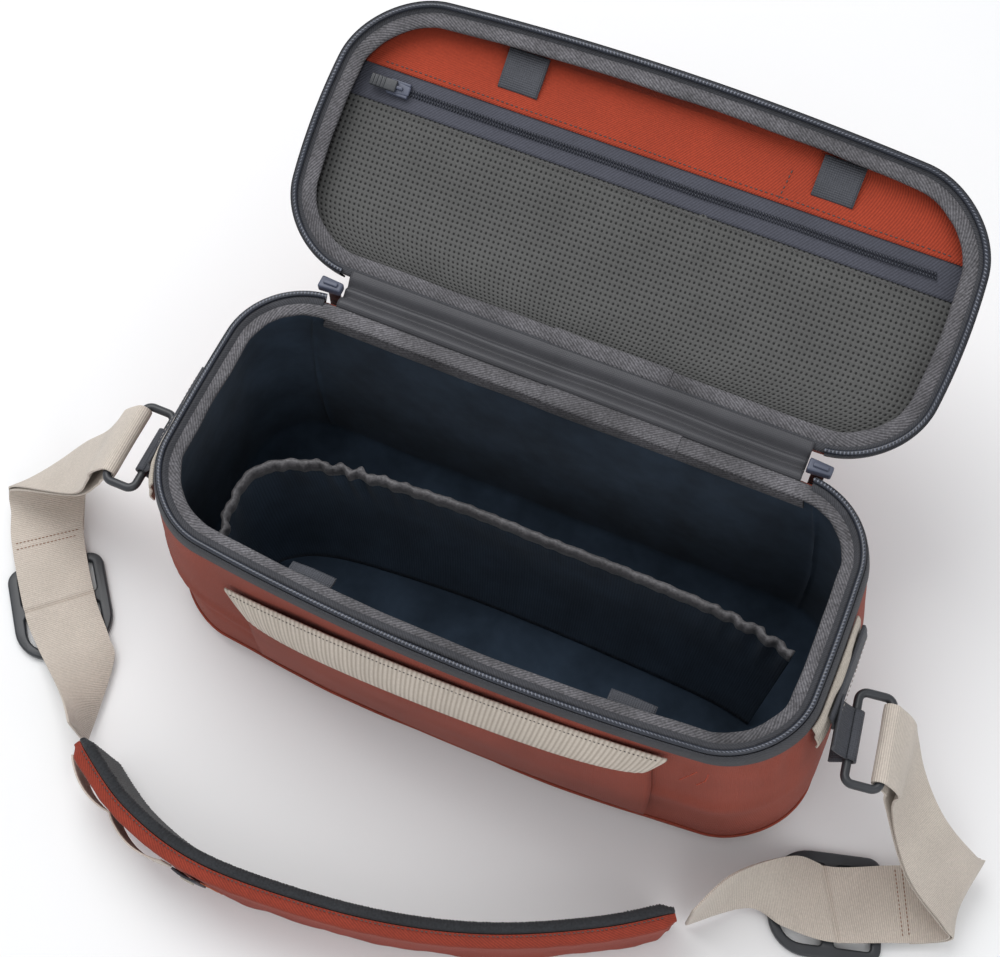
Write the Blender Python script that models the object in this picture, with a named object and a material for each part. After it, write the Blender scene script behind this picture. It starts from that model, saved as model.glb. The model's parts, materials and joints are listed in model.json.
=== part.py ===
"""Camera sling bag: a boxy soft-shell bag with a zip-round lid, padded walls, pockets and a shoulder strap.

Frame: +X along the bag's length, -Y its front, +Z up. The origin is the middle of the base, on the floor.
The lid is modelled shut and its hinge empty then turns it to its open stop, where the hinge gusset is taut.
All lengths are in millimetres and are scaled to metres when a mesh is made.
"""

import math

import bmesh
import bpy
import numpy as np
from mathutils import Matrix, Vector
from mathutils.geometry import interpolate_bezier

MM = 0.001

# ---- driving dimensions ----
RIM_LENGTH = 320.0
RIM_WIDTH = 140.6
BODY_HEIGHT = 140.0
LID_DEPTH = 34.0
LID_RIM = BODY_HEIGHT + 0.6  # height of the shut lid's rim
CORNER_RADIUS = 38.0
BASE_CORNER_RADIUS = 42.0
BODY_SIDE_BULGE = 2.0
BODY_FRONT_BOW = 12.0
LID_SIDE_BULGE = 8.0
LID_FRONT_BOW = 8.0
BASE_EDGE_RADIUS = 14.0
LID_EDGE_RADIUS = 15.0
LID_CROWN = 4.0
LID_ROOF_RINGS = [(26.0, LID_CROWN * 0.6), (35.0, LID_CROWN)]  # inset and rise of the crowned roof's rings
SIDE_TAPER = 9.0  # how much longer each end is at the base than at the rim
SIDE_BELLY = 6.0  # extra swell of each end at half height
RIGHT_SAG = 8.0  # how much further the right end has slumped at the base
HINGE_Y = 76.0
HINGE_Z = 138.7
LID_OPEN_DEG = 154.74

# inner face of the lid: its depth behind the rim, and the lines where its pieces meet
LID_FACE_DEPTH = 13.0
LID_PANEL_EDGE = -36.0
LID_ZIP_EDGE = -19.0
LID_ZIP_LENGTH = 284.0
LID_TAB_LONG = 22.0
LID_TAB_LOW = 10.6
POCKET_SLIDER_X = -134.0
POCKET_SLIDER_TALL = 3.6
# the pull lies towards the zip's left end; its pin stands above the slider by more than its tail reaches past it
POCKET_PIN_RISE = 1.2
POCKET_PIN_SHIFT = -1.5
POCKET_PULL_TAIL = 0.7
POCKET_PULL_LONG = 14.2
PULL_Y = 77.0
PULL_TOP = 134.5
PULL_HALF = 0.9
# Half outline of a hanging pull about its pin: a narrow neck clears the slider as the pull swings, then the blade.
PULL_NECK = [(0.9, 0.5), (0.9, -3.0), (3.25, -5.0), (3.25, -23.5), (2.2, -24.5)]
PULL_OUTLINE = PULL_NECK + [(-x, z) for x, z in reversed(PULL_NECK)]

# ---- layers, as insets from the outermost skin ----
GAP = 0.3
TAPE_THICK = 1.0
SHELL_THICK = 1.6
FOAM_THICK = 4.0
LINING_THICK = 1.0
SHELL_IN = TAPE_THICK + GAP
FOAM_IN = SHELL_IN + SHELL_THICK + GAP
LINING_IN = FOAM_IN + FOAM_THICK + GAP
CAVITY_IN = LINING_IN + LINING_THICK
BINDING_IN = 3.3
BINDING_WIDTH = 9.2
BINDING_THICK = 3.2
TAPE_HEIGHT = 11.0
BAND_LOW = 108.0  # lower edge of the side bands
BAND_THICK = 1.4
TAB_REACH = 11.0
TAB_DROOP_DEG = 25.0
COIL_WIDTH = 4.4
COIL_HEIGHT = 2.4
HINGE_HALF = 118.0  # the gusset runs between the two zip ends

# ---- front pocket ----
POCKET_LOW = 22.0
POCKET_MOUTH_LEFT = 104.0  # height of the mouth's left end
POCKET_MOUTH_RISE = 18.0  # how much higher its right end is
POCKET_BINDING = 22.0
POCKET_BULGE = 7.0

# ---- strap ----
WEBBING_THICK = 1.5
PAD_THICK = 12.0
PAD_HEIGHT = 50.0
FOAM_SHARE = 0.45
PAD_LEAN_ENDS = 4.0  # how far the pad's top overhangs its foot, outwards
PAD_LEAN_MIDDLE = 5.0
STRAP_AXIS_Y = -28.0
STRAP_AXIS_Z = 104.0
RIGHT_RING_YAW = 8.0
BAR_WRAP = 3.6  # from a ring bar's centre to the middle of the webbing round it
LAYER_PITCH = 2.3  # between the two layers of doubled webbing


# ---------------------------------------------------------------- helpers
def clear_scene():
    for obj in list(bpy.data.objects):
        bpy.data.objects.remove(obj)


def material(name, color, roughness=0.8, metallic=0.0):
    mat = bpy.data.materials.new(name)
    mat.use_nodes = True
    shader = mat.node_tree.nodes["Principled BSDF"]
    shader.inputs["Base Color"].default_value = (*color, 1.0)
    shader.inputs["Roughness"].default_value = roughness
    shader.inputs["Metallic"].default_value = metallic
    return mat


def finish_mesh(name, bm, mat, smooth_deg=40.0):
    bmesh.ops.remove_doubles(bm, verts=bm.verts, dist=1e-5)
    bmesh.ops.recalc_face_normals(bm, faces=bm.faces)
    bmesh.ops.scale(bm, vec=Vector((MM, MM, MM)), verts=bm.verts)
    mesh = bpy.data.meshes.new(name)
    bm.to_mesh(mesh)
    bm.free()
    mesh.shade_smooth()
    mesh.set_sharp_from_angle(angle=math.radians(smooth_deg))
    mesh.materials.append(mat)
    obj = bpy.data.objects.new(name, mesh)
    bpy.context.scene.collection.objects.link(obj)
    return obj


def loft(name, loops, mat, cyclic_rows=False, cyclic_loop=True, smooth_deg=40.0):
    """Skins equal-length point loops into one closed solid. Rows close on themselves, or end in caps."""
    bm = bmesh.new()
    rows = [[bm.verts.new(p) for p in loop] for loop in loops]
    count = len(rows[0])
    pairs = [(i, i + 1) for i in range(len(rows) - 1)]
    if cyclic_rows:
        pairs.append((len(rows) - 1, 0))
    spans = count if cyclic_loop else count - 1
    for a, b in pairs:
        for k in range(spans):
            n = (k + 1) % count
            bm.faces.new((rows[a][k], rows[a][n], rows[b][n], rows[b][k]))
    if not cyclic_rows:
        bm.faces.new(rows[0])
        bm.faces.new(list(reversed(rows[-1])))
    return finish_mesh(name, bm, mat, smooth_deg)


def sweep(name, frames, section, mat, closed=False, smooth_deg=40.0):
    """Sweeps a closed 2-D section along frames of (origin, u axis, v axis)."""
    loops = []
    for origin, u, v in frames:
        loops.append([origin + u * a + v * b for a, b in section])
    return loft(name, loops, mat, cyclic_rows=closed, smooth_deg=smooth_deg)


def ellipse(a, b, count, centre=(0.0, 0.0)):
    turn = [2 * math.pi * k / count for k in range(count)]
    return [(centre[0] + a * math.cos(t), centre[1] + b * math.sin(t)) for t in turn]


def rect(a0, a1, b0, b1):
    return [(a0, b0), (a1, b0), (a1, b1), (a0, b1)]


def prism(name, polygon, z0, z1, mat):
    """Extrudes a plan polygon between two heights."""
    low = [Vector((x, y, z0)) for x, y in polygon]
    high = [Vector((x, y, z1)) for x, y in polygon]
    return loft(name, [low, high], mat, smooth_deg=30.0)


def spline(points, count):
    """Evenly spaced points on a smooth curve through the given points (Catmull-Rom as Bezier spans)."""
    pts = [Vector(p) for p in points]
    dense = [pts[0]]
    for i in range(len(pts) - 1):
        before = pts[max(i - 1, 0)]
        after = pts[min(i + 2, len(pts) - 1)]
        h1 = pts[i] + (pts[i + 1] - before) / 6
        h2 = pts[i + 1] - (after - pts[i]) / 6
        dense += interpolate_bezier(pts[i], h1, h2, pts[i + 1], 13)[1:]
    d = np.array(dense)
    s = np.concatenate([[0], np.cumsum(np.linalg.norm(np.diff(d, axis=0), axis=1))])
    t = np.linspace(0, s[-1], count)
    return [Vector(p) for p in np.stack([np.interp(t, s, d[:, k]) for k in range(3)], 1)]


# ---------------------------------------------------------------- plan outline of body and lid
def half_length(z):
    """Half the bag's length at a height: the ends swell below the rim."""
    share = 1 - min(z, BODY_HEIGHT) / BODY_HEIGHT
    return RIM_LENGTH / 2 + SIDE_TAPER * share + SIDE_BELLY * 4 * share * (1 - share)


def corner_radius(z):
    share = 1 - min(z, BODY_HEIGHT) / BODY_HEIGHT
    return CORNER_RADIUS + (BASE_CORNER_RADIUS - CORNER_RADIUS) * share


def base_outline(hx, hy, r):
    """Rounded rectangle from the back's right end, anticlockwise: back, left, front, right."""
    pts = []

    def line(a, b, steps):
        for k in range(steps):
            pts.append((a[0] + (b[0] - a[0]) * k / steps, a[1] + (b[1] - a[1]) * k / steps))

    def corner(cx, cy, start, steps=6):
        for k in range(steps):
            a = math.radians(start + 90 * k / steps)
            pts.append((cx + r * math.cos(a), cy + r * math.sin(a)))

    line((hx - r, hy), (-hx + r, hy), 8)
    corner(-hx + r, hy - r, 90)
    line((-hx, hy - r), (-hx, -hy + r), 4)
    corner(-hx + r, -hy + r, 180)
    line((-hx + r, -hy), (hx - r, -hy), 10)
    corner(hx - r, -hy + r, 270)
    line((hx, -hy + r), (hx, hy - r), 4)
    corner(hx - r, hy - r, 0)
    return pts


def outline(hx, hy, r, side, front, inset=0.0):
    """The rounded rectangle with bowed front and bulged ends, moved in by inset along its normals."""
    pts = []
    for x, y in base_outline(hx, hy, r):
        along = 1 - (x / hx) ** 2
        across = 1 - (y / hy) ** 2
        bow = front * max(along, 0) * max(0.0, -y / hy)
        bulge = side * max(across, 0) * (x / hx)
        pts.append(Vector((x + bulge, y - bow)))
    out = []
    count = len(pts)
    for k, p in enumerate(pts):
        t = (pts[(k + 1) % count] - pts[k - 1]).normalized()
        out.append(p + Vector((-t.y, t.x)) * inset)
    return out


def body_loop(z, inset):
    half = half_length(z)
    plan = outline(half, RIM_WIDTH / 2, corner_radius(z), BODY_SIDE_BULGE, BODY_FRONT_BOW, inset)
    sag = RIGHT_SAG * (1 - min(z, BODY_HEIGHT) / BODY_HEIGHT)
    return [Vector((p.x + sag * max(0.0, p.x / half), p.y, z)) for p in plan]


def lid_loop(height, inset):
    """height is measured up from the lid's rim when it is shut."""
    plan = outline(RIM_LENGTH / 2, RIM_WIDTH / 2, CORNER_RADIUS, LID_SIDE_BULGE, LID_FRONT_BOW, inset)
    return [Vector((p.x, p.y, LID_RIM + height)) for p in plan]


def wall_rows(inset, high, steps=4):
    """Loops of one wall layer from the flat floor, round the floor's edge, up the wall."""
    rows = []
    radius = BASE_EDGE_RADIUS - inset
    edge = BASE_EDGE_RADIUS - SHELL_IN
    for k in range(3):
        a = math.radians(90 * k / 3)
        rows.append(body_loop(edge - radius * math.cos(a), BASE_EDGE_RADIUS - radius * math.sin(a)))
    for k in range(steps + 1):
        rows.append(body_loop(edge + (high - edge) * k / steps, inset))
    return rows


def tray(name, outer_in, thick, high, mat):
    """An open tray: outer skin up, over the rim, and inner skin down, closed by both floors."""
    return loft(name, wall_rows(outer_in, high) + list(reversed(wall_rows(outer_in + thick, high))), mat)


# Outline indices: back 0-7, left corner 8-13, left 14-17, front corner 18-23, front 24-33, corner 34-39,
# right 40-43, back corner 44-49. The zip runs from the left back corner round the front to the right one.
ZIP_START, ZIP_STOP = 9, 49
COUNT = 50


def wall_patch(name, spans, heights_at, inset, thick, mat, bump=None):
    """A closed sheet on the body's wall between two outline indices. heights_at(u) gives its rows at a share u
    of its length, and bump(u, v) moves it outwards."""
    first, last = spans
    loops = []
    for k in range(first, last + 1):
        u = (k - first) / (last - first)
        heights = heights_at(u)
        outer, inner = [], []
        for row, z in enumerate(heights):
            lift = bump(u, row / (len(heights) - 1)) if bump else 0.0
            outer.append(body_loop(z, inset - lift)[k % COUNT])
            inner.append(body_loop(z, inset + thick - lift)[k % COUNT])
        loops.append(outer + list(reversed(inner)))
    return loft(name, loops, mat)


def level(*heights):
    """The same row heights all along a wall patch."""
    return lambda u: heights


def rim_ring(name, loop, section, mat, start=None, stop=None):
    """Sweeps a section of (inset, height) round the rim, all the way or from one index to another."""
    columns = [loop(h, inset) for inset, h in section]
    order = range(COUNT) if start is None else range(start, stop + 1)
    loops = [[column[k % COUNT] for column in columns] for k in order]
    return loft(name, loops, mat, cyclic_rows=start is None)


# ---------------------------------------------------------------- ribbons
def ribbon(name, edges, mat, count, sewn_at, thick=WEBBING_THICK):
    """Flat webbing between two edge curves, given as pairs of design points from the pad to the ring's bar.
    It turns round the bar and comes back against itself as far as the point where its end is sewn."""
    a = spline([e[0] for e in edges], count)
    b = spline([e[1] for e in edges], count)
    middle = [(p + q) / 2 for p, q in zip(a, b)]
    ahead = [(middle[min(k + 1, count - 1)] - middle[max(k - 1, 0)]).normalized() for k in range(count)]
    normals = [t.cross(q - p).normalized() for t, p, q in zip(ahead, a, b)]
    last = count - 1
    stations = list(zip(a, b, normals))
    for k in range(1, 8):
        turn = math.pi * k / 8
        shift = normals[last] * (BAR_WRAP * (1 - math.cos(turn))) + ahead[last] * (BAR_WRAP * math.sin(turn))
        facing = normals[last] * math.cos(turn) - ahead[last] * math.sin(turn)
        stations.append((a[last] + shift, b[last] + shift, facing))
    stop = min(range(count), key=lambda k: (middle[k] - Vector(sewn_at)).length)
    for k in range(last, stop, -1):
        share = min(1.0, (last - k) / (count * 0.2))
        apart = 2 * BAR_WRAP + (LAYER_PITCH - 2 * BAR_WRAP) * share * share * (3 - 2 * share)
        stations.append((a[k] + normals[k] * apart, b[k] + normals[k] * apart, -normals[k]))
    loops = []
    for p, q, n in stations:
        half = n * thick / 2
        loops.append([p - half, q - half, q + half, p + half])
    return loft(name, loops, mat, smooth_deg=60.0)


def box(name, size, centre, mat, bevel=0.0, turn=None):
    bm = bmesh.new()
    bmesh.ops.create_cube(bm, size=1.0)
    bmesh.ops.scale(bm, vec=Vector(size), verts=bm.verts)
    if bevel:
        bmesh.ops.bevel(bm, geom=list(bm.edges), offset=bevel, segments=2, affect="EDGES")
    if turn:
        bmesh.ops.rotate(bm, cent=(0, 0, 0), matrix=turn, verts=bm.verts)
    bmesh.ops.translate(bm, vec=Vector(centre), verts=bm.verts)
    return finish_mesh(name, bm, mat)


# ---------------------------------------------------------------- materials
def make_materials():
    return {
        "shell": material("shell_fabric", (0.30, 0.062, 0.035)),
        "twill": material("red_twill", (0.38, 0.045, 0.018)),
        "lining": material("navy_suede", (0.012, 0.022, 0.036), 0.95),
        "mesh": material("grey_mesh", (0.09, 0.09, 0.09), 0.9),
        "tape": material("zip_tape", (0.07, 0.075, 0.10), 0.85),
        "coil": material("zip_coil", (0.015, 0.016, 0.02), 0.4),
        "binding": material("grey_binding", (0.13, 0.125, 0.135), 0.85),
        "gusset": material("hinge_fabric", (0.045, 0.045, 0.052), 0.6),
        "cream": material("cream_webbing", (0.58, 0.52, 0.45), 0.85),
        "hard": material("dark_plastic", (0.035, 0.037, 0.041), 0.45),
        "slider": material("slider_lacquer", (0.16, 0.18, 0.25), 0.35, 0.6),
        "tab": material("dark_webbing", (0.05, 0.052, 0.058), 0.75),
        "foam": material("closed_foam", (0.08, 0.08, 0.08), 0.95),
        "board": material("base_board", (0.06, 0.06, 0.06), 0.6),
        "airmesh": material("spacer_mesh", (0.03, 0.032, 0.035), 0.9),
    }


# ---------------------------------------------------------------- bag body
def make_body(mats):
    wall_top = BODY_HEIGHT - 3.0
    tray("outer_shell", SHELL_IN, SHELL_THICK, wall_top, mats["shell"])
    tray("lining", LINING_IN, LINING_THICK, BODY_HEIGHT - 8.0, mats["lining"])

    # foam panels between shell and lining, one to a wall and one under the floor
    foam_low = BASE_EDGE_RADIUS + 2.0
    heights = level(*[foam_low + (BODY_HEIGHT - 9.0 - foam_low) * k / 4 for k in range(5)])
    walls = {"rear_foam": (0, 8), "left_foam": (14, 18), "front_foam": (24, 34), "right_foam": (40, 44)}
    for name, spans in walls.items():
        wall_patch(name, spans, heights, FOAM_IN, FOAM_THICK, mats["foam"])
    floor = body_loop(BASE_EDGE_RADIUS, BASE_EDGE_RADIUS + 1.0)
    plan = [(p.x, p.y) for p in floor]
    under = SHELL_THICK + GAP
    prism("base_board", plan, under, under + 1.6, mats["board"])
    prism("base_foam", plan, under + 1.6 + GAP, LINING_IN - SHELL_IN - GAP, mats["foam"])

    # zip band round the outside of the rim, its coil, and the bindings inside
    tape = [(0.0, BODY_HEIGHT - TAPE_HEIGHT), (0.0, BODY_HEIGHT - 3.0), (TAPE_THICK, BODY_HEIGHT - 3.0)]
    tape.append((TAPE_THICK, BODY_HEIGHT - TAPE_HEIGHT))
    rim_ring("body_zip_tape", body_loop, tape, mats["tape"], ZIP_START, ZIP_STOP)
    coil = [(2.4 + a, BODY_HEIGHT - COIL_HEIGHT / 2 + b) for a, b in ellipse(COIL_WIDTH / 2, COIL_HEIGHT / 2, 6)]
    rim_ring("body_zip_coil", body_loop, coil, mats["coil"], ZIP_START, ZIP_STOP)
    b0, b1 = BINDING_IN, BINDING_IN + BINDING_WIDTH
    top = BODY_HEIGHT - COIL_HEIGHT - GAP
    binding = [(b0, top - 0.6), (b0 + 2.5, top), (b1 - 1.5, top - 1.0), (b1, top - 2.6)]
    binding += [(b1 - 1.5, top - BINDING_THICK - 1.4), (b0, top - BINDING_THICK - 0.6)]
    rim_ring("body_rim_binding", body_loop, binding, mats["binding"])
    strip = [(CAVITY_IN + 0.3, BODY_HEIGHT - 17.0), (CAVITY_IN + 0.3, BODY_HEIGHT - 10.0)]
    strip += [(CAVITY_IN + 1.5, BODY_HEIGHT - 10.0), (CAVITY_IN + 1.5, BODY_HEIGHT - 17.0)]
    rim_ring("rear_rim_strip", body_loop, strip, mats["binding"], 0, 8)


def make_front_pocket(mats):
    """Slip pocket on the front: a bulging panel and the wide binding of its mouth, which lies shut on the wall."""
    spans = (25, 33)

    def mouth_height(u):
        return POCKET_MOUTH_LEFT + POCKET_MOUTH_RISE * u + 4.0 * math.sin(math.pi * u)

    def panel_rows(u):
        top = mouth_height(u) - POCKET_BINDING - 0.4
        return [POCKET_LOW + (top - POCKET_LOW) * k / 4 for k in range(5)]

    def binding_rows(u):
        return [mouth_height(u) - POCKET_BINDING * k / 3 for k in (3, 2, 1, 0)]

    def fullness(u):
        return POCKET_BULGE * math.sqrt(max(0.0, 1 - (2 * u - 1) ** 4))

    def panel_bulge(u, v):
        return fullness(u) * math.sin(v * math.pi / 2) ** 0.8

    def binding_bulge(u, v):
        return fullness(u) * math.cos(v * math.pi / 2)

    face = SHELL_IN - GAP
    wall_patch("front_pocket_panel", spans, panel_rows, face - 1.3, 1.3, mats["shell"], panel_bulge)
    wall_patch("front_pocket_binding", spans, binding_rows, face - 1.6, 1.6, mats["cream"], binding_bulge)


# the stretch pocket's mouth stands off the front wall: it leaves the front left corner, turns and crosses the bag
POCKET_MOUTH = [(-127, -54), (-132, -33), (-127, -12), (-97, 2), (-34, 8), (19, 8), (71, 8), (117, 6), (146, 0)]
POCKET_FOOT = [(-118, -52), (-124, -36), (-120, -22), (-94, -10), (-34, -4), (19, -3), (71, -4), (117, -6), (140, -10)]
POCKET_TOP_Z = 92.0
POCKET_FOOT_Z = 12.0


def make_stretch_pocket(mats):
    steps = 30
    rows = 5
    mouth = spline([(x, y, POCKET_TOP_Z) for x, y in POCKET_MOUTH], steps)
    foot = spline([(x, y, POCKET_FOOT_Z) for x, y in POCKET_FOOT], steps)
    loops = []
    for k in range(steps):
        along = (mouth[min(k + 1, steps - 1)] - mouth[max(k - 1, 0)]).normalized()
        side = Vector((-along.y, along.x, 0)) * 0.5
        line = []
        for r in range(rows):
            share = r / (rows - 1)
            point = foot[k].lerp(mouth[k], share)
            point += Vector((-along.y, along.x, 0)) * 5.0 * math.sin(math.pi * share)
            line.append(point)
        loops.append([p + side for p in line] + [p - side for p in reversed(line)])
    loft("stretch_pocket_panel", loops, mats["lining"])
    frames = []
    for k in range(steps):
        along = (mouth[min(k + 1, steps - 1)] - mouth[max(k - 1, 0)]).normalized()
        frames.append((mouth[k] + Vector((0, 0, 4.3)), Vector((-along.y, along.x, 0)), Vector((0, 0, 1))))
    sweep("stretch_pocket_elastic", frames, rect(-1.5, 1.5, -4.0, 4.0), mats["binding"])


def make_inner_tabs(mats):
    """Two short flat tabs sewn under the front rim, standing off the wall into the bag."""
    droop = Matrix.Rotation(math.radians(-TAB_DROOP_DEG), 3, "X")
    for side, x in (("left", -70.0), ("right", 87.0)):
        bow = BODY_FRONT_BOW * (1 - (x / (RIM_LENGTH / 2)) ** 2)
        y = -RIM_WIDTH / 2 - bow + CAVITY_IN + TAB_REACH / 2 + 1.2
        box(f"inner_tab_{side}", (22.0, TAB_REACH, 1.4), (x, y, BODY_HEIGHT - 11.5), mats["tab"], 0.3, droop)


def make_side_fittings(mats):
    """Cream band, dark patch and anchor tab on each end, below the zip band."""
    ends = {"left": (15, 20, 15, 18), "right": (39, 43, 40, 43)}
    for side, (first, last, patch_first, patch_last) in ends.items():
        high = BODY_HEIGHT - TAPE_HEIGHT - 0.5
        low = BAND_LOW
        outer = SHELL_IN - GAP - BAND_THICK
        rows = level(low, (low + high) / 2, high)
        wall_patch(f"side_webbing_{side}", (first, last), rows, outer, BAND_THICK, mats["cream"])
        outer -= GAP + BAND_THICK
        rows = level(low + 2.0, low + 8.0, low + 14.0)
        wall_patch(f"anchor_patch_{side}", (patch_first, patch_last), rows, outer, BAND_THICK, mats["tab"])


# ---------------------------------------------------------------- lid
def make_lid(mats, hinge):
    made = []
    rim = 3.0

    def shut(height, inset):
        return lid_loop(height, inset)

    def lid_tray(name, inset, thick, top, edge, low, mat):
        """The tray upside down, with a slightly crowned roof."""
        rows = []
        for sign, depth in ((1, inset), (-1, inset + thick)):
            half = []
            radius = edge - depth
            for k in range(3):
                half.append(shut(low + (top - edge - low) * k / 2, depth))
            for k in range(1, 4):
                a = math.radians(90 * k / 3)
                half.append(shut(top - edge + radius * math.sin(a), edge - radius * math.cos(a)))
            for inset_by, rise in LID_ROOF_RINGS:
                half.append(shut(top - depth + rise, inset_by))
            rows += list(reversed(half)) if sign == 1 else half
        return loft(name, rows, mat)

    made.append(lid_tray("lid_shell", SHELL_IN, SHELL_THICK, LID_DEPTH, LID_EDGE_RADIUS, rim, mats["shell"]))
    made.append(lid_tray("lid_lining", LINING_IN, LINING_THICK, LID_DEPTH, LID_EDGE_RADIUS, rim + 5.0, mats["lining"]))
    foam_rows = []
    for depth in (FOAM_IN + FOAM_THICK - 2 * GAP, FOAM_IN):
        roof = LID_DEPTH - depth
        rings = [(LID_EDGE_RADIUS + 1.5, 0.0)] + LID_ROOF_RINGS
        half = [shut(roof + rise, inset) for inset, rise in rings]
        foam_rows += list(reversed(half)) if not foam_rows else half
    made.append(loft("lid_foam", foam_rows, mats["foam"]))

    tape = [(0.0, rim), (0.0, TAPE_HEIGHT - 3.0), (TAPE_THICK, TAPE_HEIGHT - 3.0), (TAPE_THICK, rim)]
    made.append(rim_ring("lid_zip_tape", shut, tape, mats["tape"], ZIP_START, ZIP_STOP))
    coil = [(2.4 + a, COIL_HEIGHT / 2 + b) for a, b in ellipse(COIL_WIDTH / 2, COIL_HEIGHT / 2, 6)]
    made.append(rim_ring("lid_zip_coil", shut, coil, mats["coil"], ZIP_START, ZIP_STOP))
    b0, b1 = BINDING_IN, BINDING_IN + BINDING_WIDTH
    low = COIL_HEIGHT + GAP
    binding = [(b0, low + 0.6), (b0 + 2.5, low), (b1 - 1.5, low + 1.0), (b1, low + 2.6)]
    binding += [(b1 - 1.5, low + BINDING_THICK + 1.4), (b0, low + BINDING_THICK + 0.6)]
    made.append(rim_ring("lid_rim_binding", shut, binding, mats["binding"]))

    # flat inner face: red panel along the front edge, pocket zip, mesh pocket
    depth = LID_FACE_DEPTH
    inner = [(p.x, p.y) for p in shut(0, CAVITY_IN + GAP)]
    panel_edge, zip_edge = LID_PANEL_EDGE, LID_ZIP_EDGE
    made.append(prism("lid_trim_panel", clip(inner, None, panel_edge), LID_RIM + depth, LID_RIM + depth + 1.0, mats["twill"]))
    tape_plan = clip(clip(inner, None, zip_edge), panel_edge + GAP, None)
    made.append(prism("pocket_zip_tape", tape_plan, LID_RIM + depth, LID_RIM + depth + 1.0, mats["tape"]))
    mesh_plan = clip(inner, zip_edge + GAP, None)
    made.append(prism("mesh_pocket", mesh_plan, LID_RIM + depth, LID_RIM + depth + 0.8, mats["mesh"]))
    zip_y = (panel_edge + zip_edge) / 2
    coil_z = LID_RIM + depth - GAP - 0.8
    made.append(box("pocket_zip_coil", (LID_ZIP_LENGTH, 3.6, 1.6), (2.0, zip_y, coil_z), mats["coil"], 0.4))

    # slider straddles the coil: roof and two cheeks
    x0 = POCKET_SLIDER_X
    top = POCKET_SLIDER_TALL
    section = [(-4.0, 0.0), (-4.0, top), (4.0, top), (4.0, 0.0), (2.3, 0.0), (2.3, 2.3), (-2.3, 2.3), (-2.3, 0.0)]
    frames = [
        (Vector((x0 + s, zip_y, LID_RIM + depth - GAP)), Vector((0, 1, 0)), Vector((0, 0, -1))) for s in (-6.0, 6.0)
    ]
    slider = sweep("pocket_zip_slider", frames, section, mats["slider"], smooth_deg=20.0)
    made.append(slider)
    pull_z = LID_RIM + depth - GAP - top - POCKET_PIN_RISE
    pull_x = x0 + POCKET_PIN_SHIFT + POCKET_PULL_TAIL - POCKET_PULL_LONG / 2
    pull = box("pocket_zip_pull", (POCKET_PULL_LONG, 6.0, 1.6), (pull_x, zip_y, pull_z), mats["hard"], 0.5)
    made.append(pull)

    for side, x in (("left", -77.0), ("right", 86.0)):
        front = -RIM_WIDTH / 2 - LID_FRONT_BOW * (1 - (x / (RIM_LENGTH / 2)) ** 2) + CAVITY_IN
        centre = (x, front + 1.5 + LID_TAB_LONG / 2 + 1.0, LID_RIM + LID_TAB_LOW)
        made.append(box(f"lid_tab_{side}", (21.0, LID_TAB_LONG, 1.6), centre, mats["tab"], 0.4))
    for obj in made:
        hang_on(obj, hinge)
    hinge.rotation_euler = (math.radians(-LID_OPEN_DEG), 0, 0)


def clip(polygon, low_y, high_y):
    """Keeps the part of a plan polygon between two y values."""
    out = polygon
    for limit, sign in ((low_y, 1), (high_y, -1)):
        if limit is None:
            continue
        kept = []
        for k, p in enumerate(out):
            q = out[(k + 1) % len(out)]
            inside_p = sign * (p[1] - limit) >= 0
            inside_q = sign * (q[1] - limit) >= 0
            if inside_p:
                kept.append(p)
            if inside_p != inside_q:
                share = (limit - p[1]) / (q[1] - p[1])
                kept.append((p[0] + (q[0] - p[0]) * share, limit))
        out = kept
    return out


def hang_on(obj, parent):
    """Parents a finished mesh to an unturned empty without moving it."""
    obj.parent = parent
    obj.location = -parent.location


def make_empty(name, x, y, z):
    empty = bpy.data.objects.new(name, None)
    bpy.context.scene.collection.objects.link(empty)
    empty.location = (x * MM, y * MM, z * MM)
    return empty


def make_gusset(mats):
    """Pleated strip between the back rim and the lid, on the hinge line."""
    profile = [(71.2, 133.0), (71.8, 137.2), (74.2, 135.6), (76.0, 138.2), (78.2, 136.6), (80.6, 138.0)]
    back = [(y, z - 1.0) for y, z in reversed(profile)]
    section = profile + back
    loops = [[Vector((x, y, z)) for y, z in section] for x in (-HINGE_HALF, -HINGE_HALF / 3, HINGE_HALF / 3, HINGE_HALF)]
    loft("hinge_gusset", loops, mats["gusset"])


def make_main_sliders(mats):
    """Zip sliders parked at the two ends of the hinge, each with its pull hanging behind the bag.
    A slider's empty stands at the middle of its rim corner, which it runs round."""
    for side, sign in (("left", -1), ("right", 1)):
        x = sign * (HINGE_HALF + 8.5)
        corner = make_empty(f"corner_{side}", sign * (RIM_LENGTH / 2 - CORNER_RADIUS), RIM_WIDTH / 2 - CORNER_RADIUS, 0.0)
        slider = box(f"zip_slider_{side}", (12.0, 6.8, 4.7), (x, 75.0, BODY_HEIGHT - 2.05), mats["slider"], 1.2)
        hang_on(slider, corner)
        pin = make_empty(f"pull_pin_{side}", x, PULL_Y, PULL_TOP)
        loops = [[Vector((x + a, PULL_Y + y, PULL_TOP + b)) for a, b in PULL_OUTLINE] for y in (-PULL_HALF, PULL_HALF)]
        hang_on(loft(f"zip_pull_{side}", loops, mats["hard"]), pin)


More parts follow.
